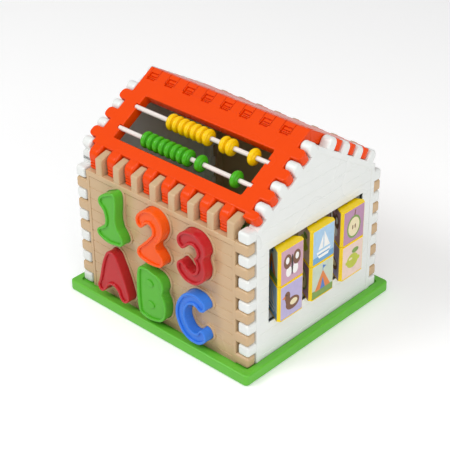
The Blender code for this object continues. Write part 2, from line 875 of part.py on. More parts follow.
def build_beads(colour_name, colour, down, trains):
    """Trains of touching beads, each one's start a share of the rod's free length."""
    number = 0
    step = BEAD_WIDTH + GAP
    free = 2 * roof_window_half - step * sum(count for _, count in trains)
    y, z = on_roof(down, -rod_depth)
    for share, count in trains:
        first = share * free - roof_window_half + (number + 0.5) * step
        for index in range(count):
            number += 1
            x = first + index * step
            name = f"{colour_name}_bead_{number}"
            place = Matrix.Translation((x, y, z)) @ Matrix.Rotation(math.pi / 2, 4, "Y")
            bead = added(name, bead_mesh(), place, part)
            screw = bead.modifiers.new("turned", "SCREW")
            screw.axis = "Z"
            screw.steps = BEAD_STEPS
            screw.render_steps = BEAD_STEPS
            screw.use_merge_vertices = True
            screw.merge_threshold = GAP / 100
            screw.use_smooth_shade = True
            painted(bead, colour)


def build_rods():
    for name, down in (("abacus_rod_upper", UPPER_ROD_DOWN), ("abacus_rod_lower", LOWER_ROD_DOWN)):
        y, z = on_roof(down, -rod_depth)
        place = Matrix.Translation((0, y, z)) @ Matrix.Rotation(math.pi / 2, 4, "Y")
        length = 2 * (roof_window_half + ROD_SEAT)
        rod = cylinder(name, ROD_RADIUS, length, ROD_STEPS, place, part)
        painted(rod, ROD_WHITE)


# Picture blocks

def block_outline():
    corners = []
    for angle in (-60, 60, 180):
        turn = math.radians(angle)
        corners.append((block_reach * math.cos(turn), block_reach * math.sin(turn), BLOCK_EDGE))
    return rounded(corners)


def build_blocks():
    radius = BLOCK_ROD_RADIUS + GAP
    bore = []
    for step in range(BLOCK_BORE_STEPS):
        angle = 2 * math.pi * step / BLOCK_BORE_STEPS
        bore.append((radius * math.cos(angle), radius * math.sin(angle)))
    for column, side in ((-1, "left"), (0, "centre"), (1, "right")):
        y = column * BLOCK_SPACING
        for row, level in ((0, "lower"), (1, "upper")):
            base = WINDOW_LOW + GAP + row * (BLOCK_HEIGHT + GAP)
            name = f"picture_block_{level}_{side}"
            place = Matrix.Translation((block_axis, y, base))
            piece = sheet(name, [block_outline(), bore], 0, BLOCK_HEIGHT, place, part)
            smooth(painted(piece, BLOCK_YELLOW))
        middle = (WINDOW_LOW + window_high) / 2
        length = window_high - WINDOW_LOW + 2 * BLOCK_ROD_SEAT
        place = Matrix.Translation((block_axis, y, middle))
        name = f"block_rod_{side}"
        rod = cylinder(name, BLOCK_ROD_RADIUS, length, BLOCK_BORE_STEPS, place, part)
        painted(rod, ROD_STEEL, STEEL_ROUGHNESS, 1)


build_tray()
build_wall("front_wall", FLAT, True)
build_wall("back_wall", HALF_TURN, False)
build_glyphs()
build_gable("right_gable", FLAT, True)
build_gable("left_gable", HALF_TURN, False)
build_roof("front_roof", FLAT, True)
build_roof("back_roof", HALF_TURN, False)
build_rods()
build_beads("yellow", BEAD_YELLOW, UPPER_ROD_DOWN, UPPER_TRAIN_SHARES)
build_beads("green", BEAD_GREEN, LOWER_ROD_DOWN, LOWER_TRAIN_SHARES)
build_blocks()
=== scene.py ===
import math

import bpy
from mathutils import Matrix, Vector


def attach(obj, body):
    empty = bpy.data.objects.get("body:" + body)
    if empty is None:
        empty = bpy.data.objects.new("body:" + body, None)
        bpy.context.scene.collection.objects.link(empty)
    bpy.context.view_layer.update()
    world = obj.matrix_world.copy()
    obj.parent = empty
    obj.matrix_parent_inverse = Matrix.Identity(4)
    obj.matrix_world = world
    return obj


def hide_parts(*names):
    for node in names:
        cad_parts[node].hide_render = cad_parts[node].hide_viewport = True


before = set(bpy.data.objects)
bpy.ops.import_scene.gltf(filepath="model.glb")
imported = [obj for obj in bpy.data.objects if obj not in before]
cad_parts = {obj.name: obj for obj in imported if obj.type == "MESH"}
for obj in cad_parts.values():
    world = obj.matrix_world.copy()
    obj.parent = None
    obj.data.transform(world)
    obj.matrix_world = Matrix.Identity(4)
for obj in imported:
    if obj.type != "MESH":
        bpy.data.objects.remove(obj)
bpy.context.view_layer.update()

# Sizes shared with the moulded parts, in metres
PITCH = 0.013
GAP = 0.0003
TRIM_RISE = 0.0006
HALF_WIDTH = 0.1202
HALF_DEPTH = 0.102
WALL_BASE = 0.0102
TAB_ROWS = 12
SLOPE_ANGLE = math.radians(31.4)
RIDGE_HEIGHT = 0.2327
SLAB = 0.0117
FRONT_TRIM = HALF_DEPTH + TRIM_RISE
GABLE_TRIM = HALF_WIDTH + TRIM_RISE
LEDGE_TOP = WALL_BASE + (TAB_ROWS - 1) * PITCH
FRONT_TAB_DEPTH = 0.0122
GABLE_TAB_DEPTH = 0.014
PEG_LENGTH = 0.012
PEG_INNER = HALF_WIDTH - PEG_LENGTH
SLAB_HALF = PEG_INNER - GAP
BAR_ROOM = 0.0023
BAR_OUTER = HALF_WIDTH - GABLE_TAB_DEPTH - BAR_ROOM
PIECE = PITCH / 2 - GAP
GABLE_HALF = FRONT_TRIM - FRONT_TAB_DEPTH
FINGERS = 8
COMB_HALF = FINGERS * PITCH
FINGER = 0.00465
FINGER_RISE = 0.001
FINGER_SINK = 0.0037
FINGER_RUN = 0.016
FINGER_BEND = (FRONT_TRIM - FINGER_RISE * math.sin(SLOPE_ANGLE)) / math.cos(SLOPE_ANGLE)
FINGER_END = FINGER_BEND - FINGER_RUN
PRONG = 0.0066
PRONG_SETBACK = 0.005
PRONG_THICKNESS = 0.009
PRONG_RIB = 0.0036
PRONG_RIBS = 3
PEG_RISE = 0.0005
PEGS = 4
PEG_SPACING = 0.02535
FIRST_NEAR = 0.01565
FIRST_FAR = 0.02715
CORNER_LOBE = 0.1086
SLAB_LOW = FINGER_END - GAP
RIDGE_RUN = 0.0122
SLAB_TOP = RIDGE_RUN + GAP
UNDER = -SLAB - GAP
WINDOW_HALF = 0.0722
WINDOW_LOW = 0.0514
BLOCK_HEIGHT = 0.041
BLOCK_SIDE = 0.0416
BLOCK_HEADROOM = 0.0025
WINDOW_HIGH = WINDOW_LOW + 2 * (BLOCK_HEIGHT + GAP) + BLOCK_HEADROOM
BLOCK_REACH = BLOCK_SIDE / math.sqrt(3)
BLOCK_PROUD = 0.0091
BLOCK_AXIS = HALF_WIDTH + BLOCK_PROUD - BLOCK_REACH / 2
BLOCK_SPACING = 0.0481
ROOF_WINDOW_HALF = 0.088
ROOF_WINDOW_TOP = 0.0338
ROOF_WINDOW_LOW = 0.0895
ROD_RADIUS = 0.0025
ROD_DEPTH = ROD_RADIUS + GAP
ROD_SEAT = 0.0036
UPPER_ROD_DOWN = 0.0478
LOWER_ROD_DOWN = 0.0762
GLYPH_SIZE = 0.0637
GLYPH_PROUD = 0.0126
GLYPH_DEPTH = 0.0231
GLYPH_ROOM = 0.0004
COLUMNS = (-0.05985, -0.00095, 0.05545)
NUMBER_ROW = 0.1181
LETTER_ROW = 0.0479

# How the mouldings are drawn
ARC_STEPS = 5
SMOOTH_ANGLE = math.radians(34)
WELD = 0.000003
CUT_PAST = 0.004
PANEL = 0.004
BAR_EDGE = 0.0006
TAB_ROOT = 0.0022
GROOVE_OUT = 0.0003
JOIN_STEP = 0.00025

# Outlines of the numbers and letters, as shares of their size
ONE_SHARES = (
    (-0.171, -0.477), (-0.305, -0.359), (-0.183, -0.239), (-0.108, -0.165), (-0.108, 0.045),
    (-0.145, 0.105), (-0.215, 0.165), (-0.235, 0.245), (-0.185, 0.33), (0.021, 0.447),
    (0.098, 0.475), (0.16, 0.445), (0.175, 0.358), (0.176, -0.138), (0.249, -0.233),
    (0.305, -0.35), (0.263, -0.442), (0.166, -0.475),
)
TWO_SHARES = (
    (-0.206, 0.105), (-0.295, 0.203), (-0.193, 0.402), (0.001, 0.485), (0.213, 0.411),
    (0.295, 0.228), (0.237, 0.04), (0.135, -0.134), (0.221, -0.216), (0.295, -0.331),
    (0.242, -0.443), (0.174, -0.476), (-0.183, -0.476), (-0.288, -0.417), (-0.286, -0.309),
    (-0.191, -0.197), (-0.03, -0.025), (0.065, 0.129), (0.011, 0.232), (-0.072, 0.222),
    (-0.136, 0.149),
)
THREE_SHARES = (
    (-0.203, 0.114), (-0.295, 0.224), (-0.223, 0.382), (-0.018, 0.465), (0.195, 0.41),
    (0.305, 0.217), (0.255, 0.051), (0.295, -0.138), (0.212, -0.353), (-0.03, -0.465),
    (-0.252, -0.372), (-0.315, -0.223), (-0.242, -0.124), (-0.151, -0.152), (-0.048, -0.234),
    (0.053, -0.231), (0.11, -0.14), (0.1, -0.045), (0.062, 0.026), (0.108, 0.09),
    (0.12, 0.165), (0.047, 0.244), (-0.074, 0.211), (-0.134, 0.141),
)
A_SHARES = (
    (-0.305, -0.445), (-0.375, -0.355), (-0.336, -0.238), (-0.158, 0.319), (-0.085, 0.42),
    (-0.002, 0.445), (0.093, 0.401), (0.148, 0.309), (0.356, -0.207), (0.375, -0.316),
    (0.324, -0.411), (0.234, -0.445), (0.159, -0.384), (0.097, -0.262), (-0.021, -0.215),
    (-0.117, -0.261), (-0.197, -0.381),
)
B_SHARES = (
    (-0.25, -0.457), (-0.307, -0.4), (-0.306, 0.392), (-0.259, 0.458), (0.046, 0.455),
    (0.203, 0.401), (0.265, 0.267), (0.235, 0.117), (0.296, -0.016), (0.305, -0.166),
    (0.231, -0.374), (0.084, -0.456),
)
C_SHARES = (
    (-0.325, -0.001), (-0.239, 0.257), (-0.068, 0.428), (0.089, 0.465), (0.254, 0.42),
    (0.325, 0.294), (0.216, 0.195), (0.126, 0.244), (0.01, 0.243), (-0.092, 0.132),
    (-0.125, -0.011), (-0.082, -0.153), (0.022, -0.254), (0.13, -0.243), (0.22, -0.155),
    (0.326, -0.256), (0.272, -0.382), (0.059, -0.465), (-0.146, -0.399), (-0.277, -0.229),
)
GLYPHS = (
    ("number_one", ONE_SHARES, COLUMNS[0], NUMBER_ROW, "glyph_green"),
    ("number_two", TWO_SHARES, COLUMNS[1], NUMBER_ROW, "glyph_orange"),
    ("number_three", THREE_SHARES, COLUMNS[2] + 0.001, NUMBER_ROW, "glyph_red"),
    ("letter_a", A_SHARES, COLUMNS[0], LETTER_ROW, "glyph_red"),
    ("letter_b", B_SHARES, COLUMNS[1], LETTER_ROW, "glyph_green"),
    ("letter_c", C_SHARES, COLUMNS[2] - 0.002, LETTER_ROW, "glyph_blue"),
)


def axes(origin, across, up):
    """The matrix whose local x and y run along across and up."""
    x = Vector(across)
    y = Vector(up)
    return Matrix.Translation(origin) @ Matrix((x, y, x.cross(y))).transposed().to_4x4()


FLAT = Matrix.Identity(4)
HALF_TURN = Matrix.Rotation(math.pi, 4, "Z")
WALL = axes((0, 0, 0), (1, 0, 0), (0, 0, 1))
PROFILE = axes((0, 0, 0), (0, 1, 0), (0, 0, 1))
SLOPE = axes((0, 0, RIDGE_HEIGHT), (1, 0, 0), (0, math.cos(SLOPE_ANGLE), math.sin(SLOPE_ANGLE)))


# Modelling helpers

def only(*objects):
    """These objects are the only ones selected, and the last is active."""
    bpy.ops.object.select_all(action="DESELECT")
    for obj in objects:
        obj.select_set(True)
    bpy.context.view_layer.objects.active = objects[-1]


def placed(obj, matrix):
    """The object's place goes into its mesh."""
    obj.matrix_basis = matrix @ obj.matrix_basis
    only(obj)
    bpy.ops.object.transform_apply(location=True, rotation=True, scale=True)
    return obj


def applied(obj, kind, **settings):
    """The object with a modifier of this kind worked into its mesh."""
    modifier = obj.modifiers.new(kind.lower(), kind)
    for name, value in settings.items():
        setattr(modifier, name, value)
    only(obj)
    bpy.ops.object.modifier_apply(modifier=modifier.name)
    return obj


def box(low, high, matrix, edge=0, steps=3):
    """A box between two corners of the matrix's frame, with its edges rounded."""
    low = Vector(low)
    high = Vector(high)
    bpy.ops.object.select_all(action="DESELECT")
    bpy.ops.mesh.primitive_cube_add(size=1, location=(low + high) / 2)
    obj = bpy.context.object
    obj.scale = high - low
    bpy.ops.object.transform_apply(location=False, rotation=False, scale=True)
    if edge:
        applied(obj, "BEVEL", width=edge, segments=steps, limit_method="NONE")
    return placed(obj, matrix)


def moulded(loops, low, high, edge, matrix, steps=2, smooth_loop=0, grow=0):
    """Closed outlines filled from low to high along z, with rounded rims. smooth_loop draws a
    soft curve through the points, and grow moves the outline outwards."""
    curve = bpy.data.curves.new("outline", "CURVE")
    curve.dimensions = "2D"
    curve.fill_mode = "BOTH"
    curve.extrude = (high - low) / 2 - edge
    curve.bevel_depth = edge
    curve.bevel_resolution = steps - 1
    curve.offset = grow - edge
    curve.resolution_u = max(smooth_loop, 1)
    for loop in loops:
        spline = curve.splines.new("BEZIER" if smooth_loop else "POLY")
        spline.use_cyclic_u = True
        if smooth_loop:
            spline.bezier_points.add(len(loop) - 1)
            for point, (x, y) in zip(spline.bezier_points, loop):
                point.co = (x, y, 0)
                point.handle_left_type = "AUTO"
                point.handle_right_type = "AUTO"
        else:
            spline.points.add(len(loop) - 1)
            for point, (x, y) in zip(spline.points, loop):
                point.co = (x, y, 0, 1)
    obj = bpy.data.objects.new("outline", curve)
    bpy.context.scene.collection.objects.link(obj)
    only(obj)
    bpy.ops.object.convert(target="MESH")
    obj = bpy.context.object
    edited(obj, lambda: bpy.ops.mesh.remove_doubles(threshold=WELD))
    obj.location.z = (low + high) / 2
    return placed(obj, matrix)


def edited(obj, *steps):
    """Runs each step in edit mode with all of the mesh selected, then turns its faces outwards."""
    only(obj)
    bpy.ops.object.mode_set(mode="EDIT")
    for step in steps:
        bpy.ops.mesh.select_all(action="SELECT")
        step()
    bpy.ops.mesh.select_all(action="SELECT")
    bpy.ops.mesh.normals_make_consistent(inside=False)
    bpy.ops.object.mode_set(mode="OBJECT")
    return obj


def copied(obj, matrix):
    """A copy with its own mesh, moved by the matrix."""
    only(obj)
    bpy.ops.object.duplicate()
    return placed(bpy.context.object, matrix)


def shift(x=0, y=0, z=0):
    return Matrix.Translation((x, y, z))


def joined(pieces):
    only(*pieces)
    if len(pieces) > 1:
        bpy.ops.object.join()
    return bpy.context.object


def cut(obj, cutters):
    """The object with the cutters' space taken out."""
    tool = joined(cutters)
    applied(obj, "BOOLEAN", operation="DIFFERENCE", object=tool, solver="EXACT", use_self=True)
    bpy.data.objects.remove(tool, do_unlink=True)
    return obj


def finished(name, pieces, material, body, nodes=()):
    """The joined pieces as one named piece with its finish, riding on its body."""
    obj = joined(pieces)
    obj.name = name
    obj.data.name = name
    obj.data.materials.clear()
    obj.data.materials.append(material)
    only(obj)
    bpy.ops.object.shade_smooth_by_angle(angle=SMOOTH_ANGLE)
    applied(obj, "WEIGHTED_NORMAL", keep_sharp=True, weight=100)
    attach(obj, body)
    if nodes:
        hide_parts(*nodes)
    return obj


def rounded(corners):
    """The outline through (x, y, radius) corners, with an arc at each one that has a radius."""
    found = []
    count = len(corners)
    for i, (x, y, radius) in enumerate(corners):
        here = Vector((x, y))
        if not radius:
            found.append((x, y))
            continue
        before = (Vector(corners[i - 1][:2]) - here).normalized()
        after = (Vector(corners[(i + 1) % count][:2]) - here).normalized()
        half = before.angle(after) / 2
        middle = here + (before + after).normalized() * radius / math.sin(half)
        start = here + before * radius / math.tan(half) - middle
        end = here + after * radius / math.tan(half) - middle
        sweep = start.angle_signed(end)
        for step in range(ARC_STEPS + 1):
            point = middle + Matrix.Rotation(-sweep * step / ARC_STEPS, 2) @ start
            found.append((point.x, point.y))
    return found


def rectangle(low, high, radius=0):
    (x0, y0), (x1, y1) = low, high
    return rounded([(x0, y0, radius), (x1, y0, radius), (x1, y1, radius), (x0, y1, radius)])


def on_roof(down, out, side=-1):
    """The (y, z) of a point this far down the slope and out from the roof's face."""
    y = down * math.cos(SLOPE_ANGLE) + out * math.sin(SLOPE_ANGLE)
    z = RIDGE_HEIGHT - down * math.sin(SLOPE_ANGLE) + out * math.cos(SLOPE_ANGLE)
    return side * y, z


def roof_line(out, y):
    """The height of the roof's face, or of a line this far out from it, at y."""
    return RIDGE_HEIGHT + out / math.cos(SLOPE_ANGLE) - abs(y) * math.tan(SLOPE_ANGLE)


def tab_height(row):
    """The middle of a row of corner tabs."""
    return WALL_BASE + (row + 0.5) * PITCH


def comb_centre(index, offset):
    """The middle of a finger on the comb of the eaves and the ridge."""
    return (2 * index - FINGERS + 0.5 + offset) * PITCH


def glyph_outline(shares, x, z):
    return [(x + a * GLYPH_SIZE, z + b * GLYPH_SIZE) for a, b in shares]


# Finishes

def linear(code):
    """An sRGB hex code as the linear colour that a shader takes."""
    found = []
    for start in (0, 2, 4):
        share = int(code[start : start + 2], 16) / 255
        found.append(share / 12.92 if share <= 0.04045 else ((share + 0.055) / 1.055) ** 2.4)
    return (*found, 1)


def add(tree, kind, settings=None, inputs=None):
    """Adds a node with its settings, and sets or links its inputs."""
    node = tree.nodes.new(kind)
    for name, value in (settings or {}).items():
        setattr(node, name, value)
    for name, value in (inputs or {}).items():
        if isinstance(value, bpy.types.NodeSocket):
            tree.links.new(value, node.inputs[name])
        else:
            node.inputs[name].default_value = value
    return node


def moulded_plastic(name, code, shade, roughness=0.32, cloud=0.03, peel=0.0016, gloss=0.5):
    """Injection-moulded plastic: glossy, with a faint cloudiness in the pigment, flow marks in
    the sheen and a slight orange peel, which is drawn coarse enough to show. A low gloss keeps
    a deep colour from being veiled by the white surroundings."""
    material = bpy.data.materials.new(name)
    material.use_nodes = True
    tree = material.node_tree
    shader = tree.nodes["Principled BSDF"]
    where = add(tree, "ShaderNodeTexCoord").outputs["Object"]
    clouds = add(
        tree, "ShaderNodeTexNoise", inputs={"Vector": where, "Scale": 1 / cloud, "Detail": 3}
    )
    mixed = add(
        tree,
        "ShaderNodeMix",
        {"data_type": "RGBA"},
        {"Factor": clouds.outputs["Fac"]},
    )
    mixed.inputs[6].default_value = linear(code)
    mixed.inputs[7].default_value = linear(shade)
    tree.links.new(mixed.outputs[2], shader.inputs["Base Color"])
    flow = add(
        tree, "ShaderNodeTexNoise", inputs={"Vector": where, "Scale": 1 / (3 * cloud), "Detail": 2}
    )
    sheen = add(
        tree,
        "ShaderNodeMapRange",
        inputs={
            "Value": flow.outputs["Fac"],
            "From Min": 0.3,
            "From Max": 0.7,
            "To Min": roughness - 0.05,
            "To Max": roughness + 0.06,
        },
    )
    tree.links.new(sheen.outputs["Result"], shader.inputs["Roughness"])
    skin = add(
        tree, "ShaderNodeTexNoise", inputs={"Vector": where, "Scale": 1 / peel, "Detail": 2}
    )
    bump = add(
        tree,
        "ShaderNodeBump",
        inputs={"Height": skin.outputs["Fac"], "Strength": 0.12, "Distance": 0.0002},
    )
    tree.links.new(bump.outputs["Normal"], shader.inputs["Normal"])
    shader.inputs["IOR"].default_value = 1.49
    shader.inputs["Specular IOR Level"].default_value = gloss
    return material


def drawn_steel(name, code):
    """Bright drawn wire: a metal whose fine lines along its length spread the highlights."""
    material = bpy.data.materials.new(name)
    material.use_nodes = True
    tree = material.node_tree
    shader = tree.nodes["Principled BSDF"]
    where = add(tree, "ShaderNodeTexCoord").outputs["Object"]
    long = add(tree, "ShaderNodeMapping", inputs={"Vector": where, "Scale": (1, 1, 0.02)})
    lines = add(
        tree,
        "ShaderNodeTexNoise",
        inputs={"Vector": long.outputs["Vector"], "Scale": 1 / 0.0004, "Detail": 2},
    )
    sheen = add(
        tree,
        "ShaderNodeMapRange",
        inputs={"Value": lines.outputs["Fac"], "To Min": 0.18, "To Max": 0.4},
    )
    tree.links.new(sheen.outputs["Result"], shader.inputs["Roughness"])
    shader.inputs["Base Color"].default_value = linear(code)
    shader.inputs["Metallic"].default_value = 1
    return material


def printed_card(name, code):
    """Four-colour print on card under a satin varnish: the tone wanders a little and the
    card's fibres show in the varnish."""
    material = bpy.data.materials.new(name)
    material.use_nodes = True
    tree = material.node_tree
    shader = tree.nodes["Principled BSDF"]
    where = add(tree, "ShaderNodeTexCoord").outputs["Object"]
    settings = {"Vector": where, "Scale": 1 / 0.006, "Detail": 4}
    tone = add(tree, "ShaderNodeTexNoise", inputs=settings)
    shift_by = add(
        tree,
        "ShaderNodeMapRange",
        inputs={"Value": tone.outputs["Fac"], "To Min": 0.86, "To Max": 1.12},
    )
    shade = add(
        tree,
        "ShaderNodeHueSaturation",
        inputs={"Value": shift_by.outputs["Result"], "Color": linear(code)},
    )
    tree.links.new(shade.outputs["Color"], shader.inputs["Base Color"])
    fibres = add(tree, "ShaderNodeTexNoise", inputs={"Vector": where, "Scale": 1 / 0.0005})
    bump = add(
        tree,
        "ShaderNodeBump",
        inputs={"Height": fibres.outputs["Fac"], "Strength": 0.15, "Distance": 0.0001},
    )
    tree.links.new(bump.outputs["Normal"], shader.inputs["Normal"])
    shader.inputs["Roughness"].default_value = 0.42
    shader.inputs["IOR"].default_value = 1.5
    return material


PRINTS = {
    colour: printed_card("printed_card_" + colour, code)
    for colour, code in (
        ("mauve", "C99FB0"),
        ("sky", "A9CBE6"),
        ("plum", "B98BAA"),
        ("lavender", "B9AED4"),
        ("sage", "C6D2BE"),
        ("blush", "EBD0C2"),
        ("white", "F3F1EC"),
        ("cream", "EBDDB4"),
        ("brown", "7A4F35"),
        ("black", "2C2523"),
        ("orange", "E0823A"),
        ("blue", "4C7ABF"),
        ("sea", "6FA5CF"),
        ("leaf", "7C9C4A"),
        ("lime", "BEC63F"),
    )
}
FINISHES = {
    "rod_steel": drawn_steel("drawn_steel_wire", "C6C9CC"),
    "tray_green": moulded_plastic("tray_green_polypropylene", "66C036", "5DB62D"),
    "wall_beige": moulded_plastic("wall_beige_polypropylene", "CFB089", "C8A880", 0.24),
    "gable_white": moulded_plastic("gable_white_polypropylene", "EAECE9", "E5E8E5", 0.3),
    "roof_orange": moulded_plastic(
        "roof_orange_polypropylene", "F04A00", "E94300", 0.24, gloss=0.22
    ),
    "block_yellow": moulded_plastic(
        "block_yellow_polystyrene", "FFDC14", "FCD60C", 0.22, gloss=0.4
    ),
    "bead_yellow": moulded_plastic("bead_yellow_polystyrene", "FACD00", "F6C400", 0.2, gloss=0.3),
    "bead_green": moulded_plastic("bead_green_polystyrene", "49B01A", "42A814", 0.2, gloss=0.3),
    "glyph_green": moulded_plastic("green_polypropylene", "5AB830", "52B02A", 0.24, gloss=0.35),
    "glyph_orange": moulded_plastic("orange_polypropylene", "F85E10", "F1560A", 0.24, gloss=0.3),
    "glyph_red": moulded_plastic("red_polypropylene", "C2242A", "B81E24", 0.24, gloss=0.35),
    "glyph_blue": moulded_plastic("blue_polypropylene", "3A80E6", "3377DC", 0.24, gloss=0.35),
    "rod_white": moulded_plastic("rod_white_polystyrene", "EFE6E0", "EAE0D8", 0.22),
}


# Tray

TRAY_ROOM_X = 0.0004
TRAY_ROOM_Y = 0.0039
TRAY_X = GABLE_TRIM + TRAY_ROOM_X
TRAY_Y = FRONT_TRIM + TRAY_ROOM_Y
RIM_WIDTH = 0.0082
TRAY_HEIGHT = 0.0124
TRAY_FLOOR = 0.0099
TRAY_CORNER = 0.0045
TRAY_EDGE = 0.002
TRAY_WALL = 0.0045
TRAY_RIB = 0.002
TRAY_SKIN = 0.0025
TRAY_CELLS = 3


def build_tray():
    """The tray: a raised rim round its floor, and hollow cells between ribs underneath."""
    outer_x = TRAY_X + RIM_WIDTH
    outer_y = TRAY_Y + RIM_WIDTH
    outline = rectangle((-outer_x, -outer_y), (outer_x, outer_y), TRAY_CORNER)
    tray = moulded([outline], 0, TRAY_HEIGHT, TRAY_EDGE, FLAT, steps=3)
    inner = rectangle((-TRAY_X, -TRAY_Y), (TRAY_X, TRAY_Y), TRAY_CORNER)
    cutters = [moulded([inner], TRAY_FLOOR, TRAY_HEIGHT + CUT_PAST, 0, FLAT)]
    reach_x = outer_x - TRAY_WALL
    reach_y = outer_y - TRAY_WALL
    step_x = (2 * reach_x + TRAY_RIB) / TRAY_CELLS
    step_y = (2 * reach_y + TRAY_RIB) / TRAY_CELLS
    for column in range(TRAY_CELLS):
        for row in range(TRAY_CELLS):
            x = -reach_x + column * step_x
            y = -reach_y + row * step_y
            low = (x, y, -CUT_PAST)
            high = (x + step_x - TRAY_RIB, y + step_y - TRAY_RIB, TRAY_FLOOR - TRAY_SKIN)
            cutters.append(box(low, high, FLAT))
    cut(tray, cutters)
    finished("tray_moulding", [tray], FINISHES["tray_green"], "house", ["base_tray"])


# Long walls

PLANK_BAR = 0.004
PANEL_LAP = 0.0015
LEDGE_LAP = 0.001
LEDGE_HEIGHT = 0.0063
LEDGE_PROUD = 0.0012
LEDGE_EDGE = 0.001
WALL_GROOVE = 0.0008
WALL_TAB_EDGE = 0.0028
FINGER_FOOT = 0.004
FINGER_HEEL = 0.008
FINGER_BEND_RADIUS = 0.0026
FINGER_TIP_RADIUS = 0.0016
FINGER_EDGE = 0.0018
COLLAR_WIDTH = 0.0026
COLLAR_RISE = 0.001
COLLAR_EDGE = 0.0007
COLLAR_BACK = 0.0006
HOLE_BACK = 0.002
HOLE_SMOOTHNESS = 6


def grooves(low_x, high_x, heights, face, matrix, radius):
    """Half-round cutters for the lines between the planks."""
    found = []
    for (low, high), z in zip(zip(low_x, high_x), heights):
        bpy.ops.object.select_all(action="DESELECT")
        bpy.ops.mesh.primitive_cylinder_add(
            vertices=10,
            radius=radius,
            depth=high - low,
            location=((low + high) / 2, z, face),
            rotation=(0, math.pi / 2, 0),
        )
        found.append(placed(bpy.context.object, matrix))
    return found


def finger_outline():
    """A wall finger: upright to its bend, then sinking between the roof's prongs."""
    foot = LEDGE_TOP - FINGER_FOOT
    return rounded(
        [
            (-FRONT_TRIM, foot, 0),
            (-FRONT_TRIM, roof_line(FINGER_RISE, FRONT_TRIM), FINGER_BEND_RADIUS),
            (*on_roof(FINGER_END, -FINGER_SINK), FINGER_TIP_RADIUS),
            (*on_roof(FINGER_END, -SLAB), 0),
            (-GABLE_HALF, LEDGE_TOP + FINGER_HEEL, 0),
            (-GABLE_HALF, foot, 0),
        ]
    )


def build_wall(name, turn, with_glyphs):
    """A long wall: planks between two corner bars with tabs, a ledge and the roof's fingers."""
    matrix = turn @ WALL
    plank_half = BAR_OUTER - PLANK_BAR
    wall = box(
        (-plank_half - PANEL_LAP, WALL_BASE, HALF_DEPTH - PANEL),
        (plank_half + PANEL_LAP, LEDGE_TOP - LEDGE_LAP, HALF_DEPTH),
        matrix,
    )
    heights = [tab_height(row) for row in range(TAB_ROWS - 1)]
    low = [-plank_half] * len(heights)
    high = [plank_half] * len(heights)
    cut(wall, grooves(low, high, heights, HALF_DEPTH + GROOVE_OUT, matrix, WALL_GROOVE))
    pieces = []
    for side in (-1, 1):
        x = sorted((side * BAR_OUTER, side * plank_half))
        pieces.append(
            box(
                (x[0], WALL_BASE, GABLE_HALF),
                (x[1], LEDGE_TOP - LEDGE_LAP, FRONT_TRIM),
                matrix,
                BAR_EDGE,
                2,
            )
        )
        x = sorted((side * (BAR_OUTER - TAB_ROOT), side * (GABLE_TRIM - TRIM_RISE - GAP)))
        first = side < 0
        z = tab_height(first)
        tab = box(
            (x[0], z - PIECE, GABLE_HALF + GAP),
            (x[1], z + PIECE, FRONT_TRIM + TRIM_RISE / 2),
            matrix,
            WALL_TAB_EDGE,
            4,
        )
        pieces.append(tab)
        for row in range(first + 2, TAB_ROWS - 1, 2):
            pieces.append(copied(tab, shift(z=(row - first) * PITCH)))
    pieces.append(
        box(
            (-BAR_OUTER, LEDGE_TOP - LEDGE_HEIGHT, GABLE_HALF),
            (BAR_OUTER, LEDGE_TOP, HALF_DEPTH + LEDGE_PROUD),
            matrix,
            LEDGE_EDGE,
            3,
        )
    )
    x = comb_centre(0, 1)
    finger = moulded([finger_outline()], x - FINGER, x + FINGER, FINGER_EDGE, turn @ PROFILE, 4)
    pieces.append(finger)
    step = turn.to_3x3() @ Vector((2 * PITCH, 0, 0))
    for index in range(1, FINGERS):
        pieces.append(copied(finger, shift(*(step * index))))
    if with_glyphs:
        holes = []
        for _, shares, x, z, _ in GLYPHS:
            loop = glyph_outline(shares, x, z)
            collar = moulded(
                [loop],
                GABLE_HALF + COLLAR_BACK,
                FRONT_TRIM + COLLAR_RISE,
                COLLAR_EDGE,
                matrix,
                2,
                HOLE_SMOOTHNESS,
                COLLAR_WIDTH,
            )
            hole = moulded(
                [loop],
                GABLE_HALF - HOLE_BACK,
                FRONT_TRIM + CUT_PAST,
                0,
                matrix,
                1,
                HOLE_SMOOTHNESS,
                GLYPH_ROOM,
            )
            pieces.append(cut(collar, [copied(hole, FLAT)]))
            holes.append(hole)
        cut(wall, holes)
    finished(name + "_moulding", [wall, *pieces], FINISHES["wall_beige"], "house", [name])


# Numbers and letters

GLYPH_DISH = 0.0021
GLYPH_RIM = 0.003
RIM_DEPTH = 0.0045
RIM_EDGE = 0.0011
BODY_INSET = 0.00004
GLYPH_SMOOTHNESS = 8
BOSS_DEPTH = 0.004
BOSS_SINK = 0.0007
BOSS_EDGE = 0.0006
BOSS_PLACES = ((-0.03, 0.22), (-0.02, -0.19))
BOSS_SHARES = ((-0.08, -0.05), (-0.08, 0.05), (0.02, 0.045), (0.05, 0), (0.02, -0.045))


def inset(loop, distance):
    """The outline moved inwards, drawn the other way round as a hole's is."""
    count = len(loop)
    area = sum(
        loop[i - 1][0] * loop[i][1] - loop[i][0] * loop[i - 1][1] for i in range(count)
    )
    side = distance if area > 0 else -distance
    found = []
    for i in range(count):
        here = Vector(loop[i])
        along = (here - Vector(loop[i - 1])).normalized() + (
            Vector(loop[(i + 1) % count]) - here
        ).normalized()
        along.normalize()
        found.append((here.x - along.y * side, here.y + along.x * side))
    return found[::-1]


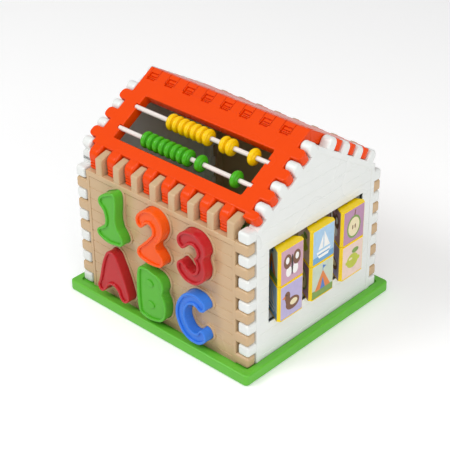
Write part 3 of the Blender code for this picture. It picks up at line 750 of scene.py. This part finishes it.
def build_glyphs():
    """The numbers and letters: a dished face inside a rounded rim."""
    face = HALF_DEPTH + GLYPH_PROUD
    for name, shares, x, z, finish in GLYPHS:
        loop = glyph_outline(shares, x, z)
        rim = [loop, inset(loop, GLYPH_RIM)]
        pieces = [
            moulded(
                [loop],
                face - GLYPH_DEPTH,
                face - GLYPH_DISH,
                0,
                WALL,
                1,
                GLYPH_SMOOTHNESS,
                -BODY_INSET,
            ),
            moulded(rim, face - RIM_DEPTH, face, RIM_EDGE, WALL, 4, GLYPH_SMOOTHNESS),
        ]
        if name == "letter_b":
            for a, b in BOSS_PLACES:
                boss = glyph_outline(BOSS_SHARES, x + a * GLYPH_SIZE, z + b * GLYPH_SIZE)
                pieces.append(
                    moulded([boss], face - BOSS_DEPTH, face - BOSS_SINK, BOSS_EDGE, WALL, 3, 6)
                )
        finished(name + "_moulding", pieces, FINISHES[finish], name, [name])


# Gables

GABLE_BAND = 0.0065
GABLE_POST = 0.0055
GABLE_GROOVE = 0.0006
GROOVE_END = 0.002
GABLE_TAB_EDGE = 0.003
PANEL_SINK = 0.001
PEG_ROOT = 0.003
PEG_EDGE = 0.0028
PEG_STEPS = 12
WINDOW_RIM = 0.0059


def peg_outline(centre, side):
    """A roof peg seen from the gable's end: a half round on a foot in the band below it."""
    found = [on_roof(centre - PIECE, UNDER - PEG_ROOT, side)]
    for step in range(PEG_STEPS + 1):
        angle = math.pi * step / PEG_STEPS
        down = centre - PIECE * math.cos(angle)
        found.append(on_roof(down, PEG_RISE - PIECE + PIECE * math.sin(angle), side))
    found.append(on_roof(centre + PIECE, UNDER - PEG_ROOT, side))
    return found


def build_gable(name, turn, with_window):
    """A gable: planks framed by posts with tabs and by a band along the slopes with pegs."""
    matrix = turn @ PROFILE
    half = GABLE_HALF - PANEL_SINK
    top = UNDER - PANEL_SINK
    band_top = roof_line(UNDER - GABLE_BAND, 0)
    outline = [
        (-half, WALL_BASE),
        (half, WALL_BASE),
        (half, roof_line(top, GABLE_HALF)),
        (0, roof_line(top, 0)),
        (-half, roof_line(top, GABLE_HALF)),
    ]
    opening = rectangle((-WINDOW_HALF, WINDOW_LOW), (WINDOW_HALF, WINDOW_HIGH))
    loops = [outline, opening] if with_window else [outline]
    wall = moulded(loops, HALF_WIDTH - PANEL, HALF_WIDTH, 0, matrix)
    low = []
    high = []
    heights = []
    row = 0
    while tab_height(row) < band_top - PITCH / 2:
        z = tab_height(row)
        reach = min(GABLE_HALF, (band_top - z) / math.tan(SLOPE_ANGLE)) - GROOVE_END
        low.append(-reach)
        high.append(reach)
        heights.append(z)
        row += 1
    cut(wall, grooves(low, high, heights, HALF_WIDTH + GROOVE_OUT, matrix, GABLE_GROOVE))
    depth = HALF_WIDTH - GABLE_TAB_DEPTH
    band = [
        (-GABLE_HALF, roof_line(UNDER - GABLE_BAND, GABLE_HALF)),
        (0, band_top),
        (GABLE_HALF, roof_line(UNDER - GABLE_BAND, GABLE_HALF)),
        (GABLE_HALF, roof_line(UNDER, GABLE_HALF)),
        (0, roof_line(UNDER, 0)),
        (-GABLE_HALF, roof_line(UNDER, GABLE_HALF)),
    ]
    pieces = [moulded([band], PEG_INNER, GABLE_TRIM, BAR_EDGE, matrix, 2)]
    for side, first in ((-1, FIRST_NEAR), (1, FIRST_FAR)):
        y = sorted((side * GABLE_HALF, side * (GABLE_HALF - GABLE_POST)))
        pieces.append(
            box(
                (y[0], WALL_BASE, depth),
                (y[1], roof_line(UNDER - GABLE_BAND / 2, GABLE_HALF), GABLE_TRIM),
                matrix,
                BAR_EDGE,
                2,
            )
        )
        y = sorted((side * (GABLE_HALF - TAB_ROOT), side * FRONT_TRIM))
        low_row = side < 0
        z = tab_height(low_row)
        tab = box(
            (y[0], z - PIECE, depth + TRIM_RISE / 2),
            (y[1], z + PIECE, GABLE_TRIM - TRIM_RISE / 2),
            matrix,
            GABLE_TAB_EDGE,
            4,
        )
        pieces.append(tab)
        for row in range(low_row + 2, TAB_ROWS, 2):
            pieces.append(copied(tab, shift(z=(row - low_row) * PITCH)))
        for index in range(PEGS):
            loop = peg_outline(first + index * PEG_SPACING, side)
            pieces.append(
                moulded([loop], PEG_INNER, GABLE_TRIM + TRIM_RISE / 2, PEG_EDGE, matrix, 5)
            )
    if with_window:
        outer = rectangle(
            (-WINDOW_HALF - WINDOW_RIM, WINDOW_LOW - WINDOW_RIM),
            (WINDOW_HALF + WINDOW_RIM, WINDOW_HIGH + WINDOW_RIM),
        )
        pieces.append(moulded([outer, opening], depth, HALF_WIDTH - PANEL_SINK, 0, matrix))
    finished(name + "_moulding", [wall, *pieces], FINISHES["gable_white"], "house", [name])


# Roof

LOBE_SETBACK = 0.0004
LOBE_RADIUS = 0.005
NOTCH_RADIUS = 0.0012
SLAB_EDGE = 0.0011
ROOF_WINDOW_CORNER = 0.002
WING_ROOT = 0.003
WING_EDGE = 0.0003
WING_TIP_RADIUS = 0.0006
RIDGE_RADIUS = 0.003
MARK_LOW = 0.0156
MARK_STEP = 0.00405
MARK_BAR = 0.0018
MARK_STROKE = 0.0021
MARK_WIDTH = 0.0108
MARK_SHIFT = 0.005
MARK_DEPTH = 0.0024
MARK_BARS = 3
MARK_PAST = 0.001
TONGUE_RISE = 0.0002
TONGUE_ROOT = 0.007
TONGUE_SINK = 0.005
TONGUE_START = 0.001
TONGUE_START_RADIUS = 0.006
TONGUE_BEND_RADIUS = 0.0085
TONGUE_LIP_RADIUS = 0.0012
TONGUE_LAP = 0.0006
TONGUE_EDGE = 0.003
RIB_ROUND = 0.0038
RIB_BACK_ROUND = 0.0012
RIB_EDGE = 0.0014
RIB_GAP = 0.0004
RIB_CORE_INSET = 0.0022
GROOVE_STEPS = 8


def side_edge(side, first):
    """One side of the slab, from the ridge down: notches for the pegs, lobes below each one."""
    far = HALF_WIDTH - LOBE_SETBACK
    near = SLAB_HALF
    half = PITCH / 2
    lobe = LOBE_RADIUS
    notch = NOTCH_RADIUS
    top = COMB_HALF if side < 0 else COMB_HALF - PIECE
    found = [(top, SLAB_TOP, 0), (top, 0, 0), (near, 0, 0)]
    for index in range(PEGS):
        centre = first + index * PEG_SPACING
        if index:
            found.append((far, centre - half, lobe))
            found.append((near, centre - half, notch))
        if centre + half > SLAB_LOW:
            found.append((near, SLAB_LOW, 0))
            break
        found.append((near, centre + half, notch))
        found.append((far, centre + half, lobe))
    else:
        found.append((far, CORNER_LOBE, lobe))
        found.append((COMB_HALF, CORNER_LOBE, notch))
        found.append((COMB_HALF, SLAB_LOW, 0))
    return [(side * x, -down, radius) for x, down, radius in found]


def ridge_outline():
    """A ridge finger: up one slope, over the ridge and down the other."""
    top = -JOIN_STEP
    under = JOIN_STEP - SLAB
    return rounded(
        [
            (*on_roof(SLAB_TOP + WING_ROOT, top), 0),
            (0, roof_line(top, 0), RIDGE_RADIUS),
            (*on_roof(RIDGE_RUN, top, 1), WING_TIP_RADIUS),
            (*on_roof(RIDGE_RUN, under, 1), 0),
            (0, roof_line(under, 0), 0),
            (*on_roof(SLAB_TOP + WING_ROOT, under), 0),
        ]
    )


def marks(matrix, places):
    """Cutters for the marks below the ridge: one stroke down the slope, three across."""
    found = []
    for x in places:
        loop = [(x, -MARK_LOW)]
        for number in range(MARK_BARS):
            bar = -MARK_LOW + number * MARK_STEP
            loop.extend(((x + MARK_WIDTH, bar), (x + MARK_WIDTH, bar + MARK_BAR)))
            if number < MARK_BARS - 1:
                loop.append((x + MARK_STROKE, bar + MARK_BAR))
                loop.append((x + MARK_STROKE, bar + MARK_STEP))
        loop.append((x, bar + MARK_BAR))
        found.append(moulded([loop], -MARK_DEPTH, MARK_PAST, 0, matrix))
    return found


def prong_outline():
    """An eave prong's tongue: down the slope and round the bend, as far as its ribs."""
    outer = FRONT_TRIM - PRONG_SETBACK
    inner = outer - PRONG_THICKNESS
    under = JOIN_STEP - SLAB
    low = LEDGE_TOP + GAP + PRONG_RIBS * PRONG_RIB - TONGUE_LAP
    return rounded(
        [
            (*on_roof(SLAB_LOW - TONGUE_ROOT, -TONGUE_SINK), 0),
            (*on_roof(SLAB_LOW - TONGUE_START, TONGUE_RISE), TONGUE_START_RADIUS),
            (-outer, roof_line(TONGUE_RISE, outer), TONGUE_BEND_RADIUS),
            (-outer, low, TONGUE_LIP_RADIUS),
            (-inner, low, 0),
            (-inner, roof_line(under, inner), 0),
            (*on_roof(SLAB_LOW - TONGUE_ROOT, under), 0),
        ]
    )


def prong_ribs(x, turn):
    """The rounded ribs stacked below the tongue, down to the ledge, round a hidden core."""
    outer = FRONT_TRIM - PRONG_SETBACK
    inner = outer - PRONG_THICKNESS
    plan = rounded(
        [
            (x - PRONG, -outer, RIB_ROUND),
            (x + PRONG, -outer, RIB_ROUND),
            (x + PRONG, -inner, RIB_BACK_ROUND),
            (x - PRONG, -inner, RIB_BACK_ROUND),
        ]
    )
    low = LEDGE_TOP + GAP
    rib = moulded([plan], low, low + PRONG_RIB - RIB_GAP, RIB_EDGE, turn, 4)
    core = moulded([plan], low, low + PRONG_RIBS * PRONG_RIB, 0, turn, 1, 0, -RIB_CORE_INSET)
    return [rib, core, *(copied(rib, shift(z=row * PRONG_RIB)) for row in range(1, PRONG_RIBS))]


def rod_groove_outline(down):
    """The open groove in the roof's face that a bead rod lies in."""
    radius = ROD_RADIUS + GAP
    found = [on_roof(down - radius, CUT_PAST)]
    for step in range(GROOVE_STEPS + 1):
        angle = math.pi * step / GROOVE_STEPS
        found.append(
            on_roof(down - radius * math.cos(angle), -ROD_DEPTH - radius * math.sin(angle))
        )
    found.append(on_roof(down + radius, CUT_PAST))
    return found


def build_roof(name, turn, with_window):
    """A roof half: its slab, the ridge fingers over the other half and the prongs at the eave."""
    matrix = turn @ SLOPE
    loops = [rounded(side_edge(1, FIRST_NEAR) + side_edge(-1, FIRST_FAR)[::-1])]
    if with_window:
        low = (-ROOF_WINDOW_HALF, -ROOF_WINDOW_LOW)
        high = (ROOF_WINDOW_HALF, -ROOF_WINDOW_TOP)
        loops.append(rectangle(low, high, ROOF_WINDOW_CORNER))
    slab = moulded(loops, -SLAB, 0, SLAB_EDGE, matrix, 3)
    past_ridge = box(
        (-2 * HALF_WIDTH, -GAP / 2, RIDGE_HEIGHT - 3 * SLAB),
        (2 * HALF_WIDTH, 2 * SLAB, RIDGE_HEIGHT + SLAB),
        turn,
    )
    cut(slab, [past_ridge])
    if with_window:
        reach = ROOF_WINDOW_HALF + ROD_SEAT + GAP
        cutters = [
            moulded([rod_groove_outline(down)], -reach, reach, 0, turn @ PROFILE)
            for down in (UPPER_ROD_DOWN, LOWER_ROD_DOWN)
        ]
        cut(slab, cutters)
    pieces = [slab]
    mark_places = [-comb_centre(index, 1) - MARK_SHIFT for index in range(FINGERS)]
    cut(slab, marks(matrix, mark_places))
    x = comb_centre(0, 1)
    wing = moulded([ridge_outline()], x - PIECE, x + PIECE, WING_EDGE, turn @ PROFILE, 1)
    cut(wing, marks(turn @ HALF_TURN @ SLOPE, mark_places[:1]))
    x = comb_centre(0, 0)
    tongue = moulded([prong_outline()], x - PRONG, x + PRONG, TONGUE_EDGE, turn @ PROFILE, 6)
    prong = joined([*prong_ribs(x, turn), tongue])
    pieces.extend((wing, prong))
    step = turn.to_3x3() @ Vector((2 * PITCH, 0, 0))
    for index in range(1, FINGERS):
        pieces.append(copied(wing, shift(*(step * index))))
        pieces.append(copied(prong, shift(*(step * index))))
    finished(name + "_moulding", pieces, FINISHES["roof_orange"], "house", [name])


# Abacus

BEAD_HALF = 0.004
BEAD_BORE = 0.0029
BEAD_HUB = 0.0046
BEAD_NECK = 0.0056
BEAD_HUB_STEP = 0.0003
BEAD_RIM_CENTRE = 0.0062
BEAD_RIM_REACH = 0.0028
BEAD_RIM_HALF = 0.003
BEAD_RIM_STEPS = 12
BEAD_STEPS = 40
ROD_EDGE = 0.0005

# The bead groups from left to right: the first bead's place, how many there are, their body
TRAINS = (
    (
        "yellow",
        UPPER_ROD_DOWN,
        ((-0.0384, 7, "yellow_train"), (0.034, 2, "yellow_pair"), (0.0715, 1, "yellow_end")),
    ),
    (
        "green",
        LOWER_ROD_DOWN,
        ((-0.051, 8, "green_train"), (0.0238, 1, "green_middle"), (0.0706, 1, "green_end")),
    ),
)


def turned(profile, steps, matrix):
    """The closed profile of (radius, height) points spun into a ring about the matrix's z axis."""
    curve = bpy.data.curves.new("turned", "CURVE")
    curve.dimensions = "3D"
    spline = curve.splines.new("POLY")
    spline.use_cyclic_u = True
    spline.points.add(len(profile) - 1)
    for point, (radius, z) in zip(spline.points, profile):
        point.co = (radius, 0, z, 1)
    obj = bpy.data.objects.new("turned", curve)
    bpy.context.scene.collection.objects.link(obj)
    only(obj)
    bpy.ops.object.convert(target="MESH")
    obj = bpy.context.object
    edited(
        obj,
        lambda: bpy.ops.mesh.spin(
            steps=steps, angle=2 * math.pi, center=(0, 0, 0), axis=(0, 0, 1)
        ),
        lambda: bpy.ops.mesh.remove_doubles(threshold=WELD),
    )
    return placed(obj, matrix)


def bead_profile():
    """A lens-shaped bead with a rounded rim and a hub round its bore."""
    step_down = BEAD_HALF - BEAD_HUB_STEP
    found = [(BEAD_BORE, BEAD_HALF), (BEAD_HUB, BEAD_HALF), (BEAD_NECK, step_down)]
    for step in range(BEAD_RIM_STEPS + 1):
        angle = math.pi / 2 - math.pi * step / BEAD_RIM_STEPS
        radius = BEAD_RIM_CENTRE + BEAD_RIM_REACH * math.cos(angle)
        found.append((radius, BEAD_RIM_HALF * math.sin(angle)))
    found.extend([(BEAD_NECK, -step_down), (BEAD_HUB, -BEAD_HALF), (BEAD_BORE, -BEAD_HALF)])
    return found


def rod_of(radius, length, vertices, edge):
    """A round rod along z with its end edges broken."""
    bpy.ops.object.select_all(action="DESELECT")
    bpy.ops.mesh.primitive_cylinder_add(vertices=vertices, radius=radius, depth=length)
    return applied(bpy.context.object, "BEVEL", width=edge, segments=2, limit_method="ANGLE")


def build_abacus():
    along = Matrix.Rotation(math.pi / 2, 4, "Y")
    bead = turned(bead_profile(), BEAD_STEPS, along)
    for colour, down, groups in TRAINS:
        y, z = on_roof(down, -ROD_DEPTH)
        number = 0
        for first, count, body in groups:
            for index in range(count):
                number += 1
                x = first + index * (2 * BEAD_HALF + GAP)
                node = f"{colour}_bead_{number}"
                piece = copied(bead, shift(x, y, z))
                finished(node + "_turned", [piece], FINISHES["bead_" + colour], body, [node])
    bpy.data.objects.remove(bead, do_unlink=True)
    for node, down in (("abacus_rod_upper", UPPER_ROD_DOWN), ("abacus_rod_lower", LOWER_ROD_DOWN)):
        y, z = on_roof(down, -ROD_DEPTH)
        rod = rod_of(ROD_RADIUS, 2 * (ROOF_WINDOW_HALF + ROD_SEAT), 32, ROD_EDGE)
        placed(rod, shift(0, y, z) @ along)
        finished(node + "_turned", [rod], FINISHES["rod_white"], "house", [node])


# Picture blocks

PICTURE_WIDE = 0.0322
PICTURE_HIGH = 0.0386
PICTURE_RECESS = 0.0005
PICTURE_ROOM = 0.0004
PICTURE_HEADROOM = 0.0003
CARD_THICKNESS = 0.0006
CARD_FACE = 0.0001
PRINT_STEP = 0.00004
RECESS_PAST = 0.003
BLOCK_FACET = 0.0046
BLOCK_CORNER = 0.0009
BLOCK_EDGE = 0.0006
BLOCK_BORE = 0.0018
BORE_STEPS = 16
BLOCK_TURNS = (0, 120, 240)
WIRE_RADIUS = 0.0015
WIRE_SEATS = 0.009
WIRE_EDGE = 0.0003


def oval(x, y, wide, high, steps=20):
    """The outline of an oval, as shares of the picture's sides."""
    turns = [2 * math.pi * i / steps for i in range(steps)]
    return [(x + wide * math.cos(turn), y + high * math.sin(turn)) for turn in turns]


BUTTERFLY = (
    ("mauve", None),
    ("white", oval(-0.15, -0.2, 0.13, 0.15)),
    ("white", oval(0.15, -0.2, 0.13, 0.15)),
    ("brown", oval(-0.21, 0.12, 0.18, 0.21)),
    ("brown", oval(0.21, 0.12, 0.18, 0.21)),
    ("white", oval(-0.22, 0.15, 0.08, 0.1)),
    ("white", oval(0.22, 0.15, 0.08, 0.1)),
    ("black", oval(0, -0.03, 0.035, 0.3)),
)
SAILING_BOAT = (
    ("sky", None),
    ("sea", [(-0.5, -0.5), (0.5, -0.5), (0.5, -0.31), (-0.5, -0.31)]),
    ("white", [(0.02, -0.12), (0.3, -0.12), (0.02, 0.38)]),
    ("white", [(-0.03, -0.12), (-0.03, 0.28), (-0.26, -0.12)]),
    ("white", [(-0.34, -0.18), (-0.22, -0.38), (0.22, -0.38), (0.34, -0.18)]),
    ("sea", [(-0.28, -0.25), (-0.26, -0.29), (0.26, -0.29), (0.28, -0.25)]),
)
APPLE_HALF = (
    ("plum", None),
    ("brown", [(-0.02, 0.2), (0.03, 0.2), (0.08, 0.43), (0.03, 0.44)]),
    ("leaf", oval(0, -0.06, 0.34, 0.34)),
    ("cream", oval(0, -0.06, 0.28, 0.28)),
    ("brown", oval(-0.06, -0.06, 0.03, 0.07)),
    ("brown", oval(0.06, -0.06, 0.03, 0.07)),
)
DUCK = (
    ("lavender", None),
    ("brown", oval(0.05, -0.14, 0.32, 0.19)),
    ("brown", oval(-0.2, 0.14, 0.13, 0.14)),
    ("brown", [(-0.31, 0.08), (-0.24, -0.15), (-0.02, -0.08), (-0.09, 0.1)]),
    ("orange", [(-0.3, 0.19), (-0.44, 0.13), (-0.3, 0.09)]),
    ("cream", oval(0.1, -0.12, 0.17, 0.09)),
    ("black", oval(-0.23, 0.18, 0.022, 0.022)),
)
TENT = (
    ("sage", None),
    ("leaf", [(-0.5, -0.5), (0.5, -0.5), (0.5, -0.3), (-0.5, -0.26)]),
    ("orange", [(-0.38, -0.3), (0.38, -0.3), (0, 0.26)]),
    ("blue", [(-0.12, -0.3), (0.12, -0.3), (0, 0.04)]),
    ("blue", [(-0.01, 0.24), (0.01, 0.24), (0.01, 0.31), (0.16, 0.35), (-0.01, 0.42)]),
)
LEMON = (
    ("blush", None),
    ("leaf", oval(0.13, 0.24, 0.17, 0.08)),
    ("lime", oval(0, -0.05, 0.29, 0.22)),
    ("lime", oval(0.3, -0.05, 0.07, 0.06)),
    ("lime", oval(-0.3, -0.05, 0.05, 0.05)),
    ("cream", oval(-0.1, 0.03, 0.09, 0.035)),
)
PICTURES = (BUTTERFLY, SAILING_BOAT, APPLE_HALF, DUCK, TENT, LEMON)


def block_picture(picture, place):
    """A printed card in the block's recess, with its colours laid on it one over the other."""
    found = []
    for number, (colour, outline) in enumerate(picture):
        loop = outline or [(-0.5, -0.5), (0.5, -0.5), (0.5, 0.5), (-0.5, 0.5)]
        loop = [(PICTURE_WIDE * x, PICTURE_HIGH * y) for x, y in loop]
        obj = moulded([loop], -CARD_THICKNESS, CARD_FACE + PRINT_STEP * number, 0, place)
        obj.data.materials.append(PRINTS[colour])
        found.append(obj)
    return found


def block_moulding():
    """A three-sided block with blunt corners, a bore and a shallow recess in each face."""
    tips = [
        Vector((BLOCK_REACH * math.cos(turn), BLOCK_REACH * math.sin(turn)))
        for turn in (-math.pi / 3, math.pi / 3, math.pi)
    ]
    corners = []
    for number, tip in enumerate(tips):
        for other in (tips[number - 1], tips[(number + 1) % 3]):
            corners.append((*(tip + (other - tip).normalized() * BLOCK_FACET), BLOCK_CORNER))
    turns = [2 * math.pi * step / BORE_STEPS for step in range(BORE_STEPS)]
    bore = [(BLOCK_BORE * math.cos(turn), BLOCK_BORE * math.sin(turn)) for turn in turns]
    block = moulded([rounded(corners), bore], 0, BLOCK_HEIGHT, BLOCK_EDGE, FLAT, 3)
    flat = BLOCK_REACH / 2
    half = PICTURE_WIDE / 2 + PICTURE_ROOM
    tall = PICTURE_HIGH / 2 + PICTURE_HEADROOM
    middle = BLOCK_HEIGHT / 2
    recesses = [
        box(
            (flat - PICTURE_RECESS, -half, middle - tall),
            (flat + RECESS_PAST, half, middle + tall),
            Matrix.Rotation(math.radians(angle), 4, "Z"),
        )
        for angle in BLOCK_TURNS
    ]
    return cut(block, recesses)


def block_cards(first, place):
    """The three pictures of a block: every second one of the set, from the first."""
    cards = []
    card = axes((BLOCK_REACH / 2 - PICTURE_RECESS, 0, BLOCK_HEIGHT / 2), (0, 1, 0), (0, 0, 1))
    for number, angle in enumerate(BLOCK_TURNS):
        turn = Matrix.Rotation(math.radians(angle), 4, "Z")
        picture = PICTURES[(first + 2 * number) % len(PICTURES)]
        cards.extend(block_picture(picture, place @ turn @ card))
    return joined(cards)


def build_blocks():
    block = block_moulding()
    for column, side in ((-1, "left"), (0, "centre"), (1, "right")):
        for row, level in ((0, "lower"), (1, "upper")):
            base = WINDOW_LOW + GAP + row * (BLOCK_HEIGHT + GAP)
            node = f"picture_block_{level}_{side}"
            place = shift(BLOCK_AXIS, column * BLOCK_SPACING, base)
            piece = copied(block, place)
            finished(node + "_moulding", [piece], FINISHES["block_yellow"], node, [node])
            cards = block_cards(column + 1 + 3 * (1 - row), place)
            cards.name = node + "_pictures"
            cards.data.name = cards.name
            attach(cards, node)
        node = "block_rod_" + side
        rod = rod_of(WIRE_RADIUS, WINDOW_HIGH - WINDOW_LOW + WIRE_SEATS, 24, WIRE_EDGE)
        placed(rod, shift(BLOCK_AXIS, column * BLOCK_SPACING, (WINDOW_LOW + WINDOW_HIGH) / 2))
        finished(node + "_drawn", [rod], FINISHES["rod_steel"], "house", [node])
    bpy.data.objects.remove(block, do_unlink=True)


# Floor, light and camera

FLOOR_SIZE = 12
FLOOR_DROP = 0.0002
FLOOR_LIFT = 0.16
WORLD_LIGHT = 0.44
LAMP_AIM = Vector((0, 0, 0.1))
LAMPS = (
    ("key", 0.9, 21, (-0.8, -1.4, 1.7)),
    ("fill", 1.3, 10, (1.8, -0.45, 0.7)),
    ("top", 1.4, 11, (0.9, -0.6, 2)),
)
PICTURE_PIXELS = 450
FOCAL_PIXELS = 1325.19
SENSOR = 36
CAMERA_TURN = math.radians(43.168)
CAMERA_RISE = math.radians(31.455)
CAMERA_ROLL = math.radians(-0.617)
CAMERA_DISTANCE = 106.1 * PITCH
CAMERA_TARGET = Vector((0.811, -1.257, 7.198)) * PITCH


def build_stage():
    """A pale floor that the camera sees as white, soft white light and three soft lamps."""
    bpy.ops.object.select_all(action="DESELECT")
    bpy.ops.mesh.primitive_plane_add(size=FLOOR_SIZE, location=(0, 0, -FLOOR_DROP))
    floor = bpy.context.object
    floor.name = "floor"
    paint = bpy.data.materials.new("pale_floor")
    paint.use_nodes = True
    tree = paint.node_tree
    shader = tree.nodes["Principled BSDF"]
    shader.inputs["Base Color"].default_value = linear("FCFCFC")
    shader.inputs["Roughness"].default_value = 0.9
    rays = add(tree, "ShaderNodeLightPath")
    seen = rays.outputs["Is Camera Ray"]
    lift = add(tree, "ShaderNodeMath", {"operation": "MULTIPLY"}, {0: seen, 1: FLOOR_LIFT})
    tree.links.new(lift.outputs[0], shader.inputs["Emission Strength"])
    shader.inputs["Emission Color"].default_value = (1, 1, 1, 1)
    floor.data.materials.append(paint)

    world = bpy.data.worlds.new("studio")
    bpy.context.scene.world = world
    world.use_nodes = True
    tree = world.node_tree
    tree.nodes.clear()
    rays = add(tree, "ShaderNodeLightPath")
    soft = add(tree, "ShaderNodeBackground", None, {"Color": (1, 1, 1, 1), "Strength": WORLD_LIGHT})
    white = add(tree, "ShaderNodeBackground", None, {"Color": (1, 1, 1, 1), "Strength": 1})
    mix = add(
        tree,
        "ShaderNodeMixShader",
        None,
        {0: rays.outputs["Is Camera Ray"], 1: soft.outputs[0], 2: white.outputs[0]},
    )
    add(tree, "ShaderNodeOutputWorld", None, {"Surface": mix.outputs[0]})

    for name, size, power, place in LAMPS:
        data = bpy.data.lights.new(name, "AREA")
        data.size = size
        data.energy = power
        lamp = bpy.data.objects.new(name, data)
        lamp.location = place
        aim = (LAMP_AIM - Vector(place)).to_track_quat("-Z", "Y")
        lamp.rotation_euler = aim.to_euler()
        bpy.context.scene.collection.objects.link(lamp)


def build_camera():
    """The camera that was fitted to the photo."""
    level = math.cos(CAMERA_RISE)
    back = Vector(
        (math.sin(CAMERA_TURN) * level, -math.cos(CAMERA_TURN) * level, math.sin(CAMERA_RISE))
    )
    across = Vector((math.cos(CAMERA_TURN), math.sin(CAMERA_TURN), 0))
    up = back.cross(across)
    across, up = (
        math.cos(CAMERA_ROLL) * across + math.sin(CAMERA_ROLL) * up,
        math.cos(CAMERA_ROLL) * up - math.sin(CAMERA_ROLL) * across,
    )
    data = bpy.data.cameras.new("camera")
    data.sensor_width = SENSOR
    data.lens = FOCAL_PIXELS / PICTURE_PIXELS * SENSOR
    data.clip_start = 0.01
    camera = bpy.data.objects.new("camera", data)
    place = Matrix.Translation(CAMERA_TARGET + back * CAMERA_DISTANCE)
    camera.matrix_world = place @ Matrix((across, up, back)).transposed().to_4x4()
    bpy.context.scene.collection.objects.link(camera)
    bpy.context.scene.camera = camera


bpy.context.scene.view_settings.view_transform = "Standard"
build_camera()
build_tray()
build_wall("front_wall", FLAT, True)
build_wall("back_wall", HALF_TURN, False)
build_glyphs()
build_gable("right_gable", FLAT, True)
build_gable("left_gable", HALF_TURN, False)
build_roof("front_roof", FLAT, True)
build_roof("back_roof", HALF_TURN, False)
build_abacus()
build_blocks()
build_stage()
